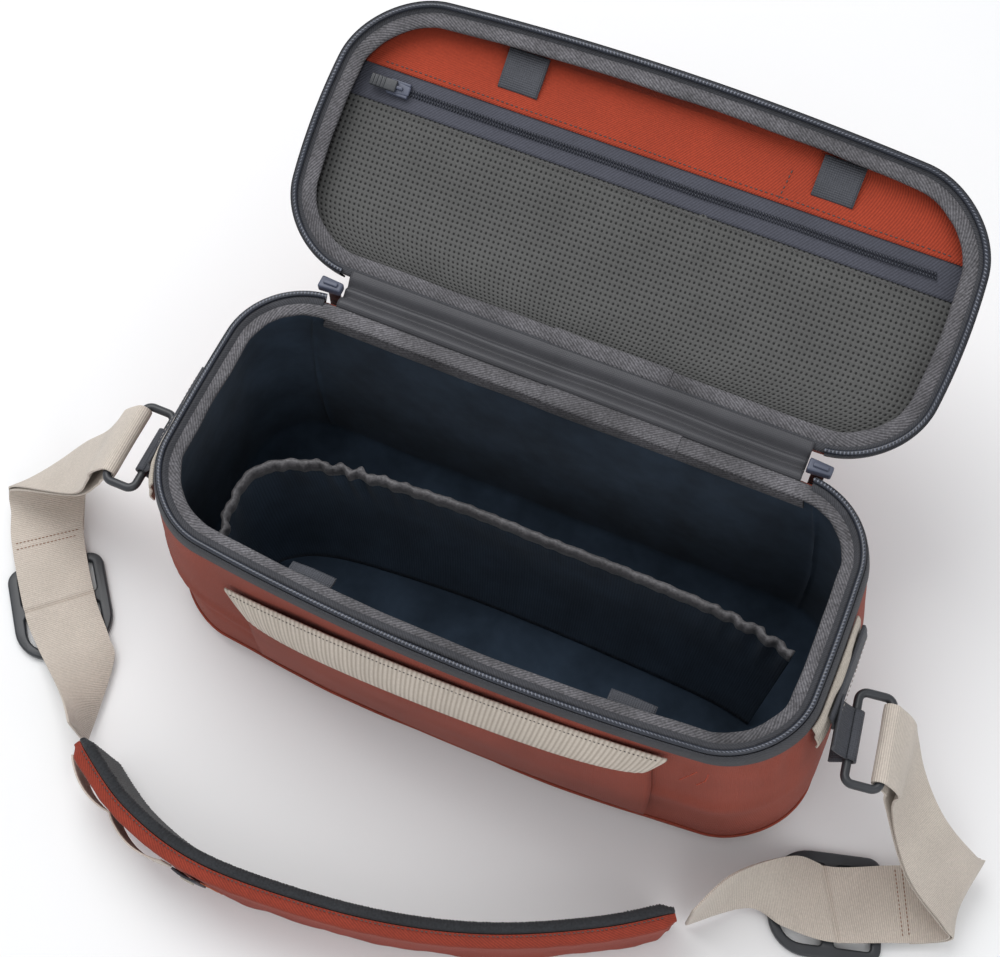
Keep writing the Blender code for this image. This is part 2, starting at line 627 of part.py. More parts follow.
# ---------------------------------------------------------------- strap
def make_ring(name, x, yaw_deg, mat):
    """Rectangular ring of round wire: its inner bar sits in the anchor tab, its outer bar carries the webbing."""
    wire = 2.2
    half_y, half_x, r = 22.0, 8.0, 4.0
    path = []
    corners = [(half_x - r, half_y - r, 0), (-half_x + r, half_y - r, 90), (-half_x + r, -half_y + r, 180)]
    corners.append((half_x - r, -half_y + r, 270))
    for cx, cy, start in corners:
        for k in range(4):
            a = math.radians(start + 30 * k)
            path.append((Vector((cx + r * math.cos(a), cy + r * math.sin(a), 0)), Vector((math.cos(a), math.sin(a), 0))))
    turn = Matrix.Rotation(math.radians(yaw_deg), 3, "Z")
    centre = Vector((x, STRAP_AXIS_Y, STRAP_AXIS_Z))
    frames = [(centre + turn @ p, turn @ out, Vector((0, 0, 1))) for p, out in path]
    return sweep(name, frames, ellipse(wire, wire, 8), mat, closed=True)


def make_adjuster(name, centre, along_deg, mats):
    """Ladder-lock frame on the floor: square at one end, rounded at the other, with a centre bar under the webbing."""
    half = 26.0
    outer = rounded(-26.0, 30.0, -half, half, 8.0, 20.0)
    hole_a = rounded(-21.0, -3.0, -half + 6.0, half - 6.0, 2.0, 2.0)
    hole_b = rounded(3.0, 24.5, -half + 6.0, half - 6.0, 2.0, 12.0)
    turn = Matrix.Rotation(math.radians(along_deg), 3, "Z")
    bm = bmesh.new()
    rings = []
    for ring in (outer, hole_a, hole_b):
        rings.append([bm.verts.new(turn @ Vector((x, y, 0)) + Vector((centre[0], centre[1], 0.5))) for x, y in ring])
    edges = []
    for ring in rings:
        edges += [bm.edges.new((ring[k], ring[(k + 1) % len(ring)])) for k in range(len(ring))]
    bmesh.ops.triangle_fill(bm, use_beauty=True, use_dissolve=False, edges=edges)
    made = bmesh.ops.extrude_face_region(bm, geom=list(bm.faces))
    verts = [v for v in made["geom"] if isinstance(v, bmesh.types.BMVert)]
    bmesh.ops.translate(bm, vec=Vector((0, 0, 4.0)), verts=verts)
    return finish_mesh(name, bm, mats["hard"], 30.0)


def rounded(x0, x1, y0, y1, r_low, r_high):
    """Rectangle with one corner radius at its low-x end and another at its high-x end."""
    pts = []
    spots = [(x1 - r_high, y1 - r_high, 0, r_high), (x0 + r_low, y1 - r_low, 90, r_low)]
    spots += [(x0 + r_low, y0 + r_low, 180, r_low), (x1 - r_high, y0 + r_high, 270, r_high)]
    for cx, cy, start, r in spots:
        for k in range(6):
            a = math.radians(start + 18 * k)
            pts.append((cx + r * math.cos(a), cy + r * math.sin(a)))
    return pts


# Webbing edges as hand-chosen pairs (outer edge, inner edge), from the pad's end to the ring.
LEFT_EDGES = [
    ((-169, -154, 44), (-169, -154, 6)),
    ((-188, -139, 24), (-178, -110, 5)),
    ((-219, -118, 7.5), (-187, -98, 7.5)),
    ((-236, -103, 7), (-206, -80, 7)),
    ((-262, -72, 7), (-230, -50, 7)),
    ((-271, -57, 8), (-242, -26, 9)),
    ((-274, -50, 16), (-247, -13, 20)),
    ((-266, -49, 27), (-240, -13, 35)),
    ((-224, -48, 53), (-221, -12, 61)),
    ((-203, -48, 83), (-203, -10, 86)),
    ((-198, -48, 93), (-198, -10, 94)),
    ((-190, -47, 101.4), (-190, -9, 101.4)),
]
RIGHT_EDGES = [
    ((146, -117, 44), (146, -117, 6)),
    ((158, -92, 38), (171, -97, 6)),
    ((183, -66, 13), (190, -99, 7)),
    ((203, -62, 7), (213, -97, 7)),
    ((229, -50, 7), (240, -86, 7)),
    ((252, -40, 8), (256, -79, 7)),
    ((267, -32, 16), (265, -74, 13)),
    ((261, -35, 28), (258, -73, 24)),
    ((236, -31, 57), (232, -63, 46)),
    ((208, -12, 84), (210, -44, 74)),
    ((202, -9, 93), (206, -45, 92)),
    ((193.3, -9, 101.4), (198.6, -46, 101.4)),
]
LEFT_SEWN = (-246, -61, 7)
RIGHT_SEWN = (242, -65, 7)
# The middle line of the pad's top edge, seen from above. The pad stands on its other long edge.
PAD_LINE = [(-159, -161), (-123, -181), (-79, -191), (-25, -188), (23, -179.5), (67, -165), (110, -143), (139, -123)]


def pad_frames(count):
    line = spline([(x, y, 0) for x, y in PAD_LINE], count)
    frames = []
    for k in range(count):
        along = (line[min(k + 1, count - 1)] - line[max(k - 1, 0)]).normalized()
        inward = Vector((-along.y, along.x, 0))
        lean = PAD_LEAN_ENDS + (PAD_LEAN_MIDDLE - PAD_LEAN_ENDS) * math.sin(math.pi * k / (count - 1))
        tilt = math.asin(lean / PAD_HEIGHT)
        up = Vector((0, 0, math.cos(tilt))) - inward * math.sin(tilt)
        out = inward * math.cos(tilt) + Vector((0, 0, math.sin(tilt)))
        floor_gap = PAD_THICK / 2 * math.sin(tilt)
        frames.append((line[k] + inward * lean + Vector((0, 0, floor_gap)), out, up))
    return frames


def make_strap(mats):
    made = []
    ring_left = make_ring("strap_ring_left", -184.5, 0.0, mats["hard"])
    ring_right = make_ring("strap_ring_right", 190.5, RIGHT_RING_YAW, mats["hard"])
    made += [ring_left, ring_right]
    made.append(ribbon("webbing_left", LEFT_EDGES, mats["cream"], 50, LEFT_SEWN))
    made.append(ribbon("webbing_right", RIGHT_EDGES, mats["cream"], 50, RIGHT_SEWN))
    made.append(make_adjuster("adjuster_left", (-221.0, -91.5), -51.3, mats))
    made.append(make_adjuster("adjuster_right", (208.0, -79.5), 195.9, mats))

    frames = pad_frames(26)
    half = PAD_THICK / 2
    split = half - PAD_THICK * FOAM_SHARE
    foam = [(split + 0.15, 1.5), (half - 1.5, 0.6), (half, 3.0), (half, PAD_HEIGHT - 3.0), (half - 1.5, PAD_HEIGHT - 0.6)]
    foam.append((split + 0.15, PAD_HEIGHT - 1.5))
    made.append(sweep("pad_foam", frames, foam, mats["airmesh"]))
    cover = [(split - 0.15, 0.6), (-half + 1.0, 0.0), (-half, 3.0), (-half, PAD_HEIGHT - 3.0)]
    cover += [(-half + 1.0, PAD_HEIGHT - 1.0), (split - 0.15, PAD_HEIGHT - 1.5)]
    made.append(sweep("pad_cover", frames, cover, mats["shell"]))

    # loop of cream elastic outside the pad's left end, in two bows, ending in a stitched keeper
    line = pad_frames(51)
    loops = []
    last = 11
    for k in range(0, last + 1):
        origin, out, up = line[k]
        share = k / last
        off = -half - 0.9 - 4.5 * abs(math.sin(2 * math.pi * share))
        loops.append((origin + out * off, out, up))
    made.append(sweep("pad_elastic", loops, rect(-0.5, 0.5, 16.0, 36.0), mats["cream"]))
    keeper = [line[k] for k in (12, 14)]
    made.append(sweep("pad_keeper", keeper, rect(-half - 1.9, -half - 0.4, 14.0, 38.0), mats["tab"]))
    stud_frames = [(o.lerp(keeper[1][0], 0.3), u, v) for o, u, v in (keeper[0],)]
    stud_frames.append((keeper[0][0].lerp(keeper[1][0], 0.7), keeper[0][1], keeper[0][2]))
    made.append(sweep("pad_stud", stud_frames, rect(-half - 3.0, -half - 2.2, 21.0, 31.0), mats["cream"]))

    pivot = make_empty("strap_pivot", 0.0, STRAP_AXIS_Y, STRAP_AXIS_Z)
    for obj in made:
        hang_on(obj, pivot)


def make_anchor_tabs(mats):
    """Webbing tabs sewn to the ends, each wrapped round its ring's inner bar."""
    round_bar = 3.4
    ends = (("left", -1, 176.5, 0.0, 169.8), ("right", 1, 182.6, RIGHT_RING_YAW, 173.6))
    for side, sign, bar, yaw, face in ends:
        turn = Matrix.Rotation(math.radians(yaw), 3, "Z")
        centre = Vector((sign * bar, STRAP_AXIS_Y - 8.0 * math.sin(math.radians(yaw)), STRAP_AXIS_Z))
        wall = face - bar  # how far the wall's patch is behind the bar
        arc = [math.radians(t) for t in range(120, -121, -30)]
        path = [(wall, 17.0), (wall + 0.6, 10.0)]
        path += [(round_bar * math.cos(a), round_bar * math.sin(a)) for a in arc]
        path += [(wall + 1.9, -8.0)]
        frames = []
        for k, (u, v) in enumerate(path):
            p0, p1 = path[max(k - 1, 0)], path[min(k + 1, len(path) - 1)]
            tangent = Vector((sign * (p1[0] - p0[0]), 0, p1[1] - p0[1])).normalized()
            across = Vector((tangent.z, 0, -tangent.x))
            frames.append((centre + turn @ Vector((sign * u, 0, v)), turn @ across, turn @ Vector((0, 1, 0))))
        sweep(f"anchor_tab_{side}", frames, rect(-0.6, 0.6, -12.0, 12.0), mats["tab"])


def build():
    clear_scene()
    mats = make_materials()
    make_body(mats)
    make_front_pocket(mats)
    make_stretch_pocket(mats)
    make_inner_tabs(mats)
    make_side_fittings(mats)
    make_gusset(mats)
    make_main_sliders(mats)
    make_lid(mats, make_empty("lid_hinge_line", 0.0, HINGE_Y, HINGE_Z))
    make_anchor_tabs(mats)
    make_strap(mats)


build()
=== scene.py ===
"""The looks of the camera sling bag: soft fabric, twill bindings, coil teeth, webbing and the ribbed pad.

Every piece is laid out in millimetres in the bag's own frame, on the outlines that the frame's nodes have,
and rides on the body it belongs to. Lid pieces are laid out on the shut lid and then turned open at its hinge.
"""

import json
import math

import bmesh
import bpy
import numpy as np
from mathutils import Matrix, Vector, noise
from mathutils.geometry import interpolate_bezier


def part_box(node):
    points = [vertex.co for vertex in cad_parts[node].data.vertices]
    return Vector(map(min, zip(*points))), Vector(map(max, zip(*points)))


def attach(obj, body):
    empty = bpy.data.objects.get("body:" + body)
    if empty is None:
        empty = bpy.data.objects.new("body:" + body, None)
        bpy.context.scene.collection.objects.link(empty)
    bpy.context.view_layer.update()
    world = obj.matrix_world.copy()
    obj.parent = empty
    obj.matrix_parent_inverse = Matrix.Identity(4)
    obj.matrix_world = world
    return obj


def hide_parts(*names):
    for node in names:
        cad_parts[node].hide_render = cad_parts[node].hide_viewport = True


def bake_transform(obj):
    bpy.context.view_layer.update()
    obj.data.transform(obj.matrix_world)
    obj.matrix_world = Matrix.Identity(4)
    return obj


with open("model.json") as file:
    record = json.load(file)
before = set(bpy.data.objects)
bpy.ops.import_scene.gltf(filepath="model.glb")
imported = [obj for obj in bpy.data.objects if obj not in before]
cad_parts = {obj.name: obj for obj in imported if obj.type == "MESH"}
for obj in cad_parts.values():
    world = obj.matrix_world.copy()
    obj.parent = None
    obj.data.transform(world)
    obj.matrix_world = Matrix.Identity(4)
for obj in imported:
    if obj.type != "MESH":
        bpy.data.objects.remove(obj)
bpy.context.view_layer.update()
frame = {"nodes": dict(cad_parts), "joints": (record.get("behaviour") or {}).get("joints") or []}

MM = 0.001

# ---- sizes of the bag, in millimetres ----
RIM_LENGTH = 320.0
RIM_WIDTH = 140.6
BODY_HEIGHT = 140.0
LID_RIM = BODY_HEIGHT + 0.6
LID_DEPTH = 34.0
CORNER_RADIUS = 38.0
BASE_CORNER_RADIUS = 42.0
BODY_SIDE_BULGE = 2.0
BODY_FRONT_BOW = 12.0
LID_SIDE_BULGE = 8.0
LID_FRONT_BOW = 8.0
BASE_EDGE_RADIUS = 14.0
LID_EDGE_RADIUS = 15.0
LID_CROWN = 4.0
SIDE_TAPER = 9.0
SIDE_BELLY = 6.0
RIGHT_SAG = 8.0
TAPE_HEIGHT = 11.0
SHELL_IN = 1.3
LINING_IN = 7.5
CAVITY_IN = 8.5
BINDING_IN = 3.3
BINDING_WIDTH = 9.2
LID_FLOOR = 13.0  # how deep the lid's inner face lies behind its rim
STRAP_AXIS_Y = -28.0
STRAP_AXIS_Z = 104.0

# one step of the frame's outline is cut into this many
FINE = 8
COUNT = 50 * FINE
# the main zip's ends as steps of the outline: from the back's left end round the front to its right end
ZIP_START, ZIP_STOP = 67, 397
COIL_PITCH = 1.75
COIL_RISE = 0.95
COIL_CORD = 1.35
TUBE_SIDES = 8
MOULDED_GRAIN = 0.00006

hinge = next(j for j in frame["joints"] if j["name"] == "lid_hinge")
HINGE = Vector(hinge["pos_m"])
LID_OPEN = math.radians(154.74)
LID_TURN = Matrix.Translation(HINGE) @ Matrix.Rotation(-LID_OPEN, 4, "X") @ Matrix.Translation(-HINGE)


# ---------------------------------------------------------------- mesh helpers
def skin(name, rows, mat, wrap_rows=False, wrap_cols=False, caps=False, thick=0.0, sharp=50.0, lid=False):
    """Skins rows of points (in millimetres) with quads, with a UV map in metres along and across the rows."""
    pts = np.array([[tuple(p) for p in row] for row in rows]) * MM
    m, n = pts.shape[:2]
    mesh = bpy.data.meshes.new(name)
    faces = []
    for i in range(m if wrap_rows else m - 1):
        for k in range(n if wrap_cols else n - 1):
            a, b = i * n + k, i * n + (k + 1) % n
            c, d = (i + 1) % m * n + (k + 1) % n, (i + 1) % m * n + k
            faces.append((a, b, c, d))
    quads = len(faces)
    if caps:
        faces.append(tuple(range(n))[::-1])
        faces.append(tuple((m - 1) * n + k for k in range(n)))
    mesh.from_pydata(pts.reshape(-1, 3).tolist(), [], faces)
    across = np.linalg.norm(np.diff(pts[:, :1], axis=0), axis=2)[:, 0]
    v = np.concatenate([[0], np.cumsum(across), [across.sum() + 0.001]])
    wide = pts[np.argmax(np.linalg.norm(np.diff(pts, axis=1), axis=2).sum(1))]
    u_steps = np.linalg.norm(np.roll(wide, -1, axis=0) - wide, axis=1)
    u = np.concatenate([[0], np.cumsum(u_steps)])
    layer = mesh.uv_layers.new(name="cloth")
    spot = 0
    for f in range(quads):
        span = n if wrap_cols else n - 1
        i, k = divmod(f, span)
        for du, dv in ((0, 0), (1, 0), (1, 1), (0, 1)):
            layer.data[spot].uv = (u[k + du], v[i + dv])
            spot += 1
    return finish(name, mesh, mat, thick, sharp, lid)


def finish(name, mesh, mat, thick=0.0, sharp=50.0, lid=False):
    """Links a mesh as a piece, with outward faces, smooth shading and an optional even thickness."""
    bm = bmesh.new()
    bm.from_mesh(mesh)
    bmesh.ops.recalc_face_normals(bm, faces=bm.faces)
    if lid:
        bmesh.ops.transform(bm, matrix=LID_TURN, verts=bm.verts)
    bm.to_mesh(mesh)
    bm.free()
    mesh.shade_smooth()
    mesh.set_sharp_from_angle(angle=math.radians(sharp))
    mesh.materials.append(mat)
    obj = bpy.data.objects.new(name, mesh)
    bpy.context.scene.collection.objects.link(obj)
    if thick:
        solid = obj.modifiers.new("thickness", "SOLIDIFY")
        solid.thickness = thick * MM
        solid.offset = 0
    return obj


def place(obj, body, slot, *nodes):
    """Gives a piece its body and lets it stand for CAD nodes. The slot argument is not used."""
    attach(obj, body)
    if nodes:
        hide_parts(*nodes)
    return obj


def spline(points, count):
    """Evenly spaced points on a smooth curve through the given points."""
    pts = [Vector(p) for p in points]
    dense = [pts[0]]
    for i in range(len(pts) - 1):
        before = pts[max(i - 1, 0)]
        after = pts[min(i + 2, len(pts) - 1)]
        h1 = pts[i] + (pts[i + 1] - before) / 6
        h2 = pts[i + 1] - (after - pts[i]) / 6
        dense += interpolate_bezier(pts[i], h1, h2, pts[i + 1], 17)[1:]
    return resample(dense, count)


def resample(points, count):
    d = np.array([tuple(p) for p in points])
    s = np.concatenate([[0], np.cumsum(np.linalg.norm(np.diff(d, axis=0), axis=1))])
    t = np.linspace(0, s[-1], count)
    return [Vector(p) for p in np.stack([np.interp(t, s, d[:, k]) for k in range(3)], 1)]


def length_of(points):
    return sum((b - a).length for a, b in zip(points, points[1:]))


def ripple(x, y, z, size, amount, seed=0.0):
    """Smooth noise in millimetres: folds of about the given size."""
    return amount * noise.noise(Vector((x / size + seed, y / size, z / size)))


def bump_at(value, centre, width):
    return math.exp(-(((value - centre) / width) ** 2))


def ease(t):
    t = min(1.0, max(0.0, t))
    return t * t * (3 - 2 * t)


def directions(line):
    last = len(line) - 1
    return [(line[min(k + 1, last)] - line[max(k - 1, 0)]).normalized() for k in range(last + 1)]


def tube(name, line, radius, mat, lid=False, wrap=False):
    """A round cord along a line of points."""
    turn = [2 * math.pi * k / TUBE_SIDES for k in range(TUBE_SIDES)]
    rows = []
    for p, t in zip(line, directions(line)):
        u = t.orthogonal().normalized() if abs(t.z) > 0.95 else t.cross(Vector((0, 0, 1))).normalized()
        w = u.cross(t)
        rows.append([p + u * radius * math.cos(a) + w * radius * math.sin(a) for a in turn])
    return skin(name, rows, mat, wrap_rows=wrap, wrap_cols=True, caps=not wrap, lid=lid)


def beads(name, spots, size, mat, lid=False):
    """One mesh of many small rounded teeth. A spot is (centre, along, across, up), size three half sizes."""
    ball = []
    for ring, height in ((0.62, -0.78), (1.0, -0.1), (0.72, 0.72)):
        ball += [(ring * math.cos(a), ring * math.sin(a), height) for a in np.arange(6) * math.pi / 3]
    cap = len(ball)
    ball.append((0, 0, 1.0))
    verts, faces = [], []
    for centre, along, across, up in spots:
        base = len(verts)
        for a, b, c in ball:
            verts.append(tuple((centre + along * a * size[0] + across * b * size[1] + up * c * size[2]) * MM))
        faces.append(tuple(base + k for k in range(5, -1, -1)))
        for ring in (0, 6):
            for k in range(6):
                n = (k + 1) % 6
                faces.append((base + ring + k, base + ring + n, base + ring + 6 + n, base + ring + 6 + k))
        faces += [(base + 12 + k, base + 12 + (k + 1) % 6, base + cap) for k in range(6)]
    mesh = bpy.data.meshes.new(name)
    mesh.from_pydata(verts, [], faces)
    return finish(name, mesh, mat, sharp=80.0, lid=lid)


def stitches(name, line, facing, mat, pitch=2.6, length=1.9, radius=0.28, lid=False):
    """A row of thread stitches along a line, lying on the cloth. facing is the cloth's outward direction."""
    total = length_of(line)
    fine = resample(line, max(8, int(total / 0.5)))
    ahead = directions(fine)
    spots = []
    for k in range(int(total / pitch)):
        at = min(len(fine) - 1, int((k + 0.5) * pitch / total * len(fine)))
        spots.append((fine[at], ahead[at], ahead[at].cross(facing).normalized(), facing))
    return beads(name, spots, (length / 2, radius, radius * 0.8), mat, lid=lid)


def block(name, size, centre, mat, bevel=0.6, turn=None, lid=False, taper=0.0):
    """A rounded moulded block: bevelled box, optionally narrower at its far end."""
    bm = bmesh.new()
    bmesh.ops.create_cube(bm, size=1.0)
    for v in bm.verts:
        if v.co.x > 0:
            v.co.y *= 1 - taper
    bmesh.ops.scale(bm, vec=Vector(size), verts=bm.verts)
    bmesh.ops.bevel(bm, geom=list(bm.edges), offset=bevel, segments=3, profile=0.6, affect="EDGES")
    if turn:
        bmesh.ops.rotate(bm, cent=(0, 0, 0), matrix=turn, verts=bm.verts)
    bmesh.ops.translate(bm, vec=Vector(centre), verts=bm.verts)
    bmesh.ops.scale(bm, vec=Vector((MM, MM, MM)), verts=bm.verts)
    mesh = bpy.data.meshes.new(name)
    bm.to_mesh(mesh)
    bm.free()
    return finish(name, mesh, mat, sharp=60.0, lid=lid)


def join(name, pieces):
    """Joins finished pieces into one."""
    data = bpy.data.meshes.new(name)
    bm = bmesh.new()
    mats = []
    for piece in pieces:
        start = len(bm.faces)
        bm.from_mesh(piece.data)
        bm.faces.ensure_lookup_table()
        mat = piece.data.materials[0]
        if mat not in mats:
            mats.append(mat)
        for f in bm.faces[start:]:
            f.material_index = mats.index(mat)
        bpy.data.objects.remove(piece)
    bm.to_mesh(data)
    bm.free()
    for mat in mats:
        data.materials.append(mat)
    obj = bpy.data.objects.new(name, data)
    bpy.context.scene.collection.objects.link(obj)
    return obj


# ---------------------------------------------------------------- outlines
def base_outline(hx, hy, r):
    """Rounded rectangle from the back's right end, anticlockwise: back, left, front, right."""
    pts = []

    def line(a, b, steps):
        for k in range(steps):
            pts.append((a[0] + (b[0] - a[0]) * k / steps, a[1] + (b[1] - a[1]) * k / steps))

    def corner(cx, cy, start, steps=6 * FINE):
        for k in range(steps):
            a = math.radians(start + 90 * k / steps)
            pts.append((cx + r * math.cos(a), cy + r * math.sin(a)))

    line((hx - r, hy), (-hx + r, hy), 8 * FINE)
    corner(-hx + r, hy - r, 90)
    line((-hx, hy - r), (-hx, -hy + r), 4 * FINE)
    corner(-hx + r, -hy + r, 180)
    line((-hx + r, -hy), (hx - r, -hy), 10 * FINE)
    corner(hx - r, -hy + r, 270)
    line((hx, -hy + r), (hx, hy - r), 4 * FINE)
    corner(hx - r, hy - r, 0)
    return pts


def outline(hx, hy, r, side, front, inset):
    pts = []
    for x, y in base_outline(hx, hy, r):
        along = 1 - (x / hx) ** 2
        across = 1 - (y / hy) ** 2
        bow = front * max(along, 0) * max(0.0, -y / hy)
        pts.append(Vector((x + side * max(across, 0) * (x / hx), y - bow)))
    out = []
    for k, p in enumerate(pts):
        t = (pts[(k + 1) % len(pts)] - pts[k - 1]).normalized()
        out.append((p + Vector((-t.y, t.x)) * inset, Vector((t.y, -t.x))))
    return out


CACHE = {}


def body_loop(z, inset):
    """Points and outward normals of the body's outline at a height."""
    key = (round(z, 2), round(inset, 2))
    if key not in CACHE:
        share = 1 - min(z, BODY_HEIGHT) / BODY_HEIGHT
        half = RIM_LENGTH / 2 + SIDE_TAPER * share + SIDE_BELLY * 4 * share * (1 - share)
        r = CORNER_RADIUS + (BASE_CORNER_RADIUS - CORNER_RADIUS) * share
        plan = outline(half, RIM_WIDTH / 2, r, BODY_SIDE_BULGE, BODY_FRONT_BOW, inset)
        pts = []
        for p, n in plan:
            x = p.x + RIGHT_SAG * share * max(0.0, p.x / half)
            pts.append((Vector((x, p.y, z)), Vector((n.x, n.y, 0))))
        CACHE[key] = pts
    return CACHE[key]


def lid_loop(height, inset):
    """The same for the shut lid, at a height above its rim."""
    plan = outline(RIM_LENGTH / 2, RIM_WIDTH / 2, CORNER_RADIUS, LID_SIDE_BULGE, LID_FRONT_BOW, inset)
    return [(Vector((p.x, p.y, LID_RIM + height)), Vector((n.x, n.y, 0))) for p, n in plan]


def zip_run(loop):
    """The part of an outline that the main zip runs along."""
    return loop[ZIP_START:ZIP_STOP + 1]


# ---------------------------------------------------------------- materials
def new_material(name, color, rough, sheen=0.0, specular=0.5):
    mat = bpy.data.materials.new(name)
    mat.use_nodes = True
    shader = mat.node_tree.nodes["Principled BSDF"]
    shader.inputs["Base Color"].default_value = (*color, 1.0)
    shader.inputs["Roughness"].default_value = rough
    shader.inputs["Sheen Weight"].default_value = sheen
    shader.inputs["Specular IOR Level"].default_value = specular
    return mat, mat.node_tree, shader


def node(tree, kind, **inputs):
    made = tree.nodes.new(kind)
    for key, value in inputs.items():
        made.inputs[key.replace("_", " ")].default_value = value
    return made


def wave_pattern(tree, source, direction, per_metre):
    """A 0..1 sine along one direction of the cloth's own coordinates."""
    dot = node(tree, "ShaderNodeVectorMath")
    dot.operation = "DOT_PRODUCT"
    tree.links.new(source, dot.inputs[0])
    dot.inputs[1].default_value = [d * per_metre * 2 * math.pi for d in direction]
    sine = node(tree, "ShaderNodeMath")
    sine.operation = "SINE"
    tree.links.new(dot.outputs["Value"], sine.inputs[0])
    scaled = node(tree, "ShaderNodeMath")
    scaled.operation = "MULTIPLY_ADD"
    scaled.inputs[1].default_value = 0.5
    scaled.inputs[2].default_value = 0.5
    tree.links.new(sine.outputs[0], scaled.inputs[0])
    return scaled.outputs[0]


def combine(tree, a, b, operation="MULTIPLY"):
    made = node(tree, "ShaderNodeMath")
    made.operation = operation
    tree.links.new(a, made.inputs[0])
    tree.links.new(b, made.inputs[1])
    return made.outputs[0]


def noise_value(tree, coord, scale, detail=4.0):
    made = node(tree, "ShaderNodeTexNoise", Scale=scale, Detail=detail)
    tree.links.new(coord, made.inputs["Vector"])
    return made.outputs["Fac"]


def paint(tree, factor, low, high, reach):
    """A colour between two colours, chosen by a factor over its reach."""
    ramp = node(tree, "ShaderNodeValToRGB")
    ramp.color_ramp.elements[0].color = (*low, 1)
    ramp.color_ramp.elements[1].color = (*high, 1)
    ramp.color_ramp.elements[0].position = reach[0]
    ramp.color_ramp.elements[1].position = reach[1]
    tree.links.new(factor, ramp.inputs[0])
    return ramp.outputs[0]


def multiply_colors(tree, a, b):
    mix = tree.nodes.new("ShaderNodeMix")
    mix.data_type = "RGBA"
    mix.blend_type = "MULTIPLY"
    mix.inputs["Factor"].default_value = 1.0
    tree.links.new(a, mix.inputs["A"])
    tree.links.new(b, mix.inputs["B"])
    return mix.outputs["Result"]


def relief(tree, shader, height, distance, strength, before=None):
    bump = node(tree, "ShaderNodeBump", Strength=strength, Distance=distance)
    tree.links.new(height, bump.inputs["Height"])
    if before:
        tree.links.new(before, bump.inputs["Normal"])
    tree.links.new(bump.outputs[0], shader.inputs["Normal"])
    return bump.outputs[0]


def cloth(name, color, dark, pattern, pitch, depth, rough=0.85, sheen=0.1, blotch=0.12, fleck=0.0,
          specular=0.4):
    """Woven or brushed cloth. pattern is plain, twill, rib, mesh or suede. pitch and depth in millimetres."""
    mat, tree, shader = new_material(name, color, rough, sheen=sheen, specular=specular)
    uv = tree.nodes.new("ShaderNodeUVMap")
    uv.uv_map = "cloth"
    world = tree.nodes.new("ShaderNodeTexCoord")
    per = 1 / (pitch * MM)
    if pattern == "plain":
        a = wave_pattern(tree, uv.outputs[0], (1, 0, 0), per)
        b = wave_pattern(tree, uv.outputs[0], (0, 1, 0), per)
        height = combine(tree, a, b, "ADD")
    elif pattern == "twill":
        height = wave_pattern(tree, uv.outputs[0], (0.8, 0.6, 0), per)
    elif pattern == "rib":
        height = wave_pattern(tree, uv.outputs[0], (1, 0, 0), per)
    elif pattern == "mesh":
        a = wave_pattern(tree, uv.outputs[0], (1, 0, 0), per)
        b = wave_pattern(tree, uv.outputs[0], (0, 1, 0), per * 0.9)
        height = combine(tree, a, b)
    else:
        height = noise_value(tree, world.outputs["Object"], per, 6.0)
    broad = noise_value(tree, world.outputs["Object"], 38.0, 5.0)
    fine = noise_value(tree, world.outputs["Object"], 900.0, 3.0)
    if pattern == "mesh":
        tint = paint(tree, height, color, dark, (0.50, 0.66))
    else:
        tint = paint(tree, height, dark, color, (0.0, 0.75))
    cloudy = paint(tree, broad, (1 - blotch,) * 3, (1 + blotch,) * 3, (0.3, 0.7))
    tint = multiply_colors(tree, tint, cloudy)
    if fleck:
        specks = paint(tree, fine, (1 - fleck,) * 3, (1 + fleck,) * 3, (0.35, 0.65))
        tint = multiply_colors(tree, tint, specks)
    tree.links.new(tint, shader.inputs["Base Color"])
    soft = relief(tree, shader, fine, 0.00012, 0.5)
    signed = height
    if pattern == "mesh":
        flip = node(tree, "ShaderNodeMath")
        flip.operation = "SUBTRACT"
        flip.inputs[0].default_value = 1.0
        tree.links.new(height, flip.inputs[1])
        signed = flip.outputs[0]
    relief(tree, shader, signed, depth * MM, 0.9, soft)
    return mat


def moulded(name, color, rough):
    """Smooth nylon, plastic, lacquer or thread, a little worn."""
    mat, tree, shader = new_material(name, color, rough)
    world = tree.nodes.new("ShaderNodeTexCoord")
    fine = noise_value(tree, world.outputs["Object"], 1400.0, 3.0)
    worn = noise_value(tree, world.outputs["Object"], 90.0, 4.0)
    bright = tuple(c * 1.35 for c in color)
    tree.links.new(paint(tree, worn, color, bright, (0.35, 0.75)), shader.inputs["Base Color"])
    relief(tree, shader, fine, MOULDED_GRAIN, 0.6)
    return mat


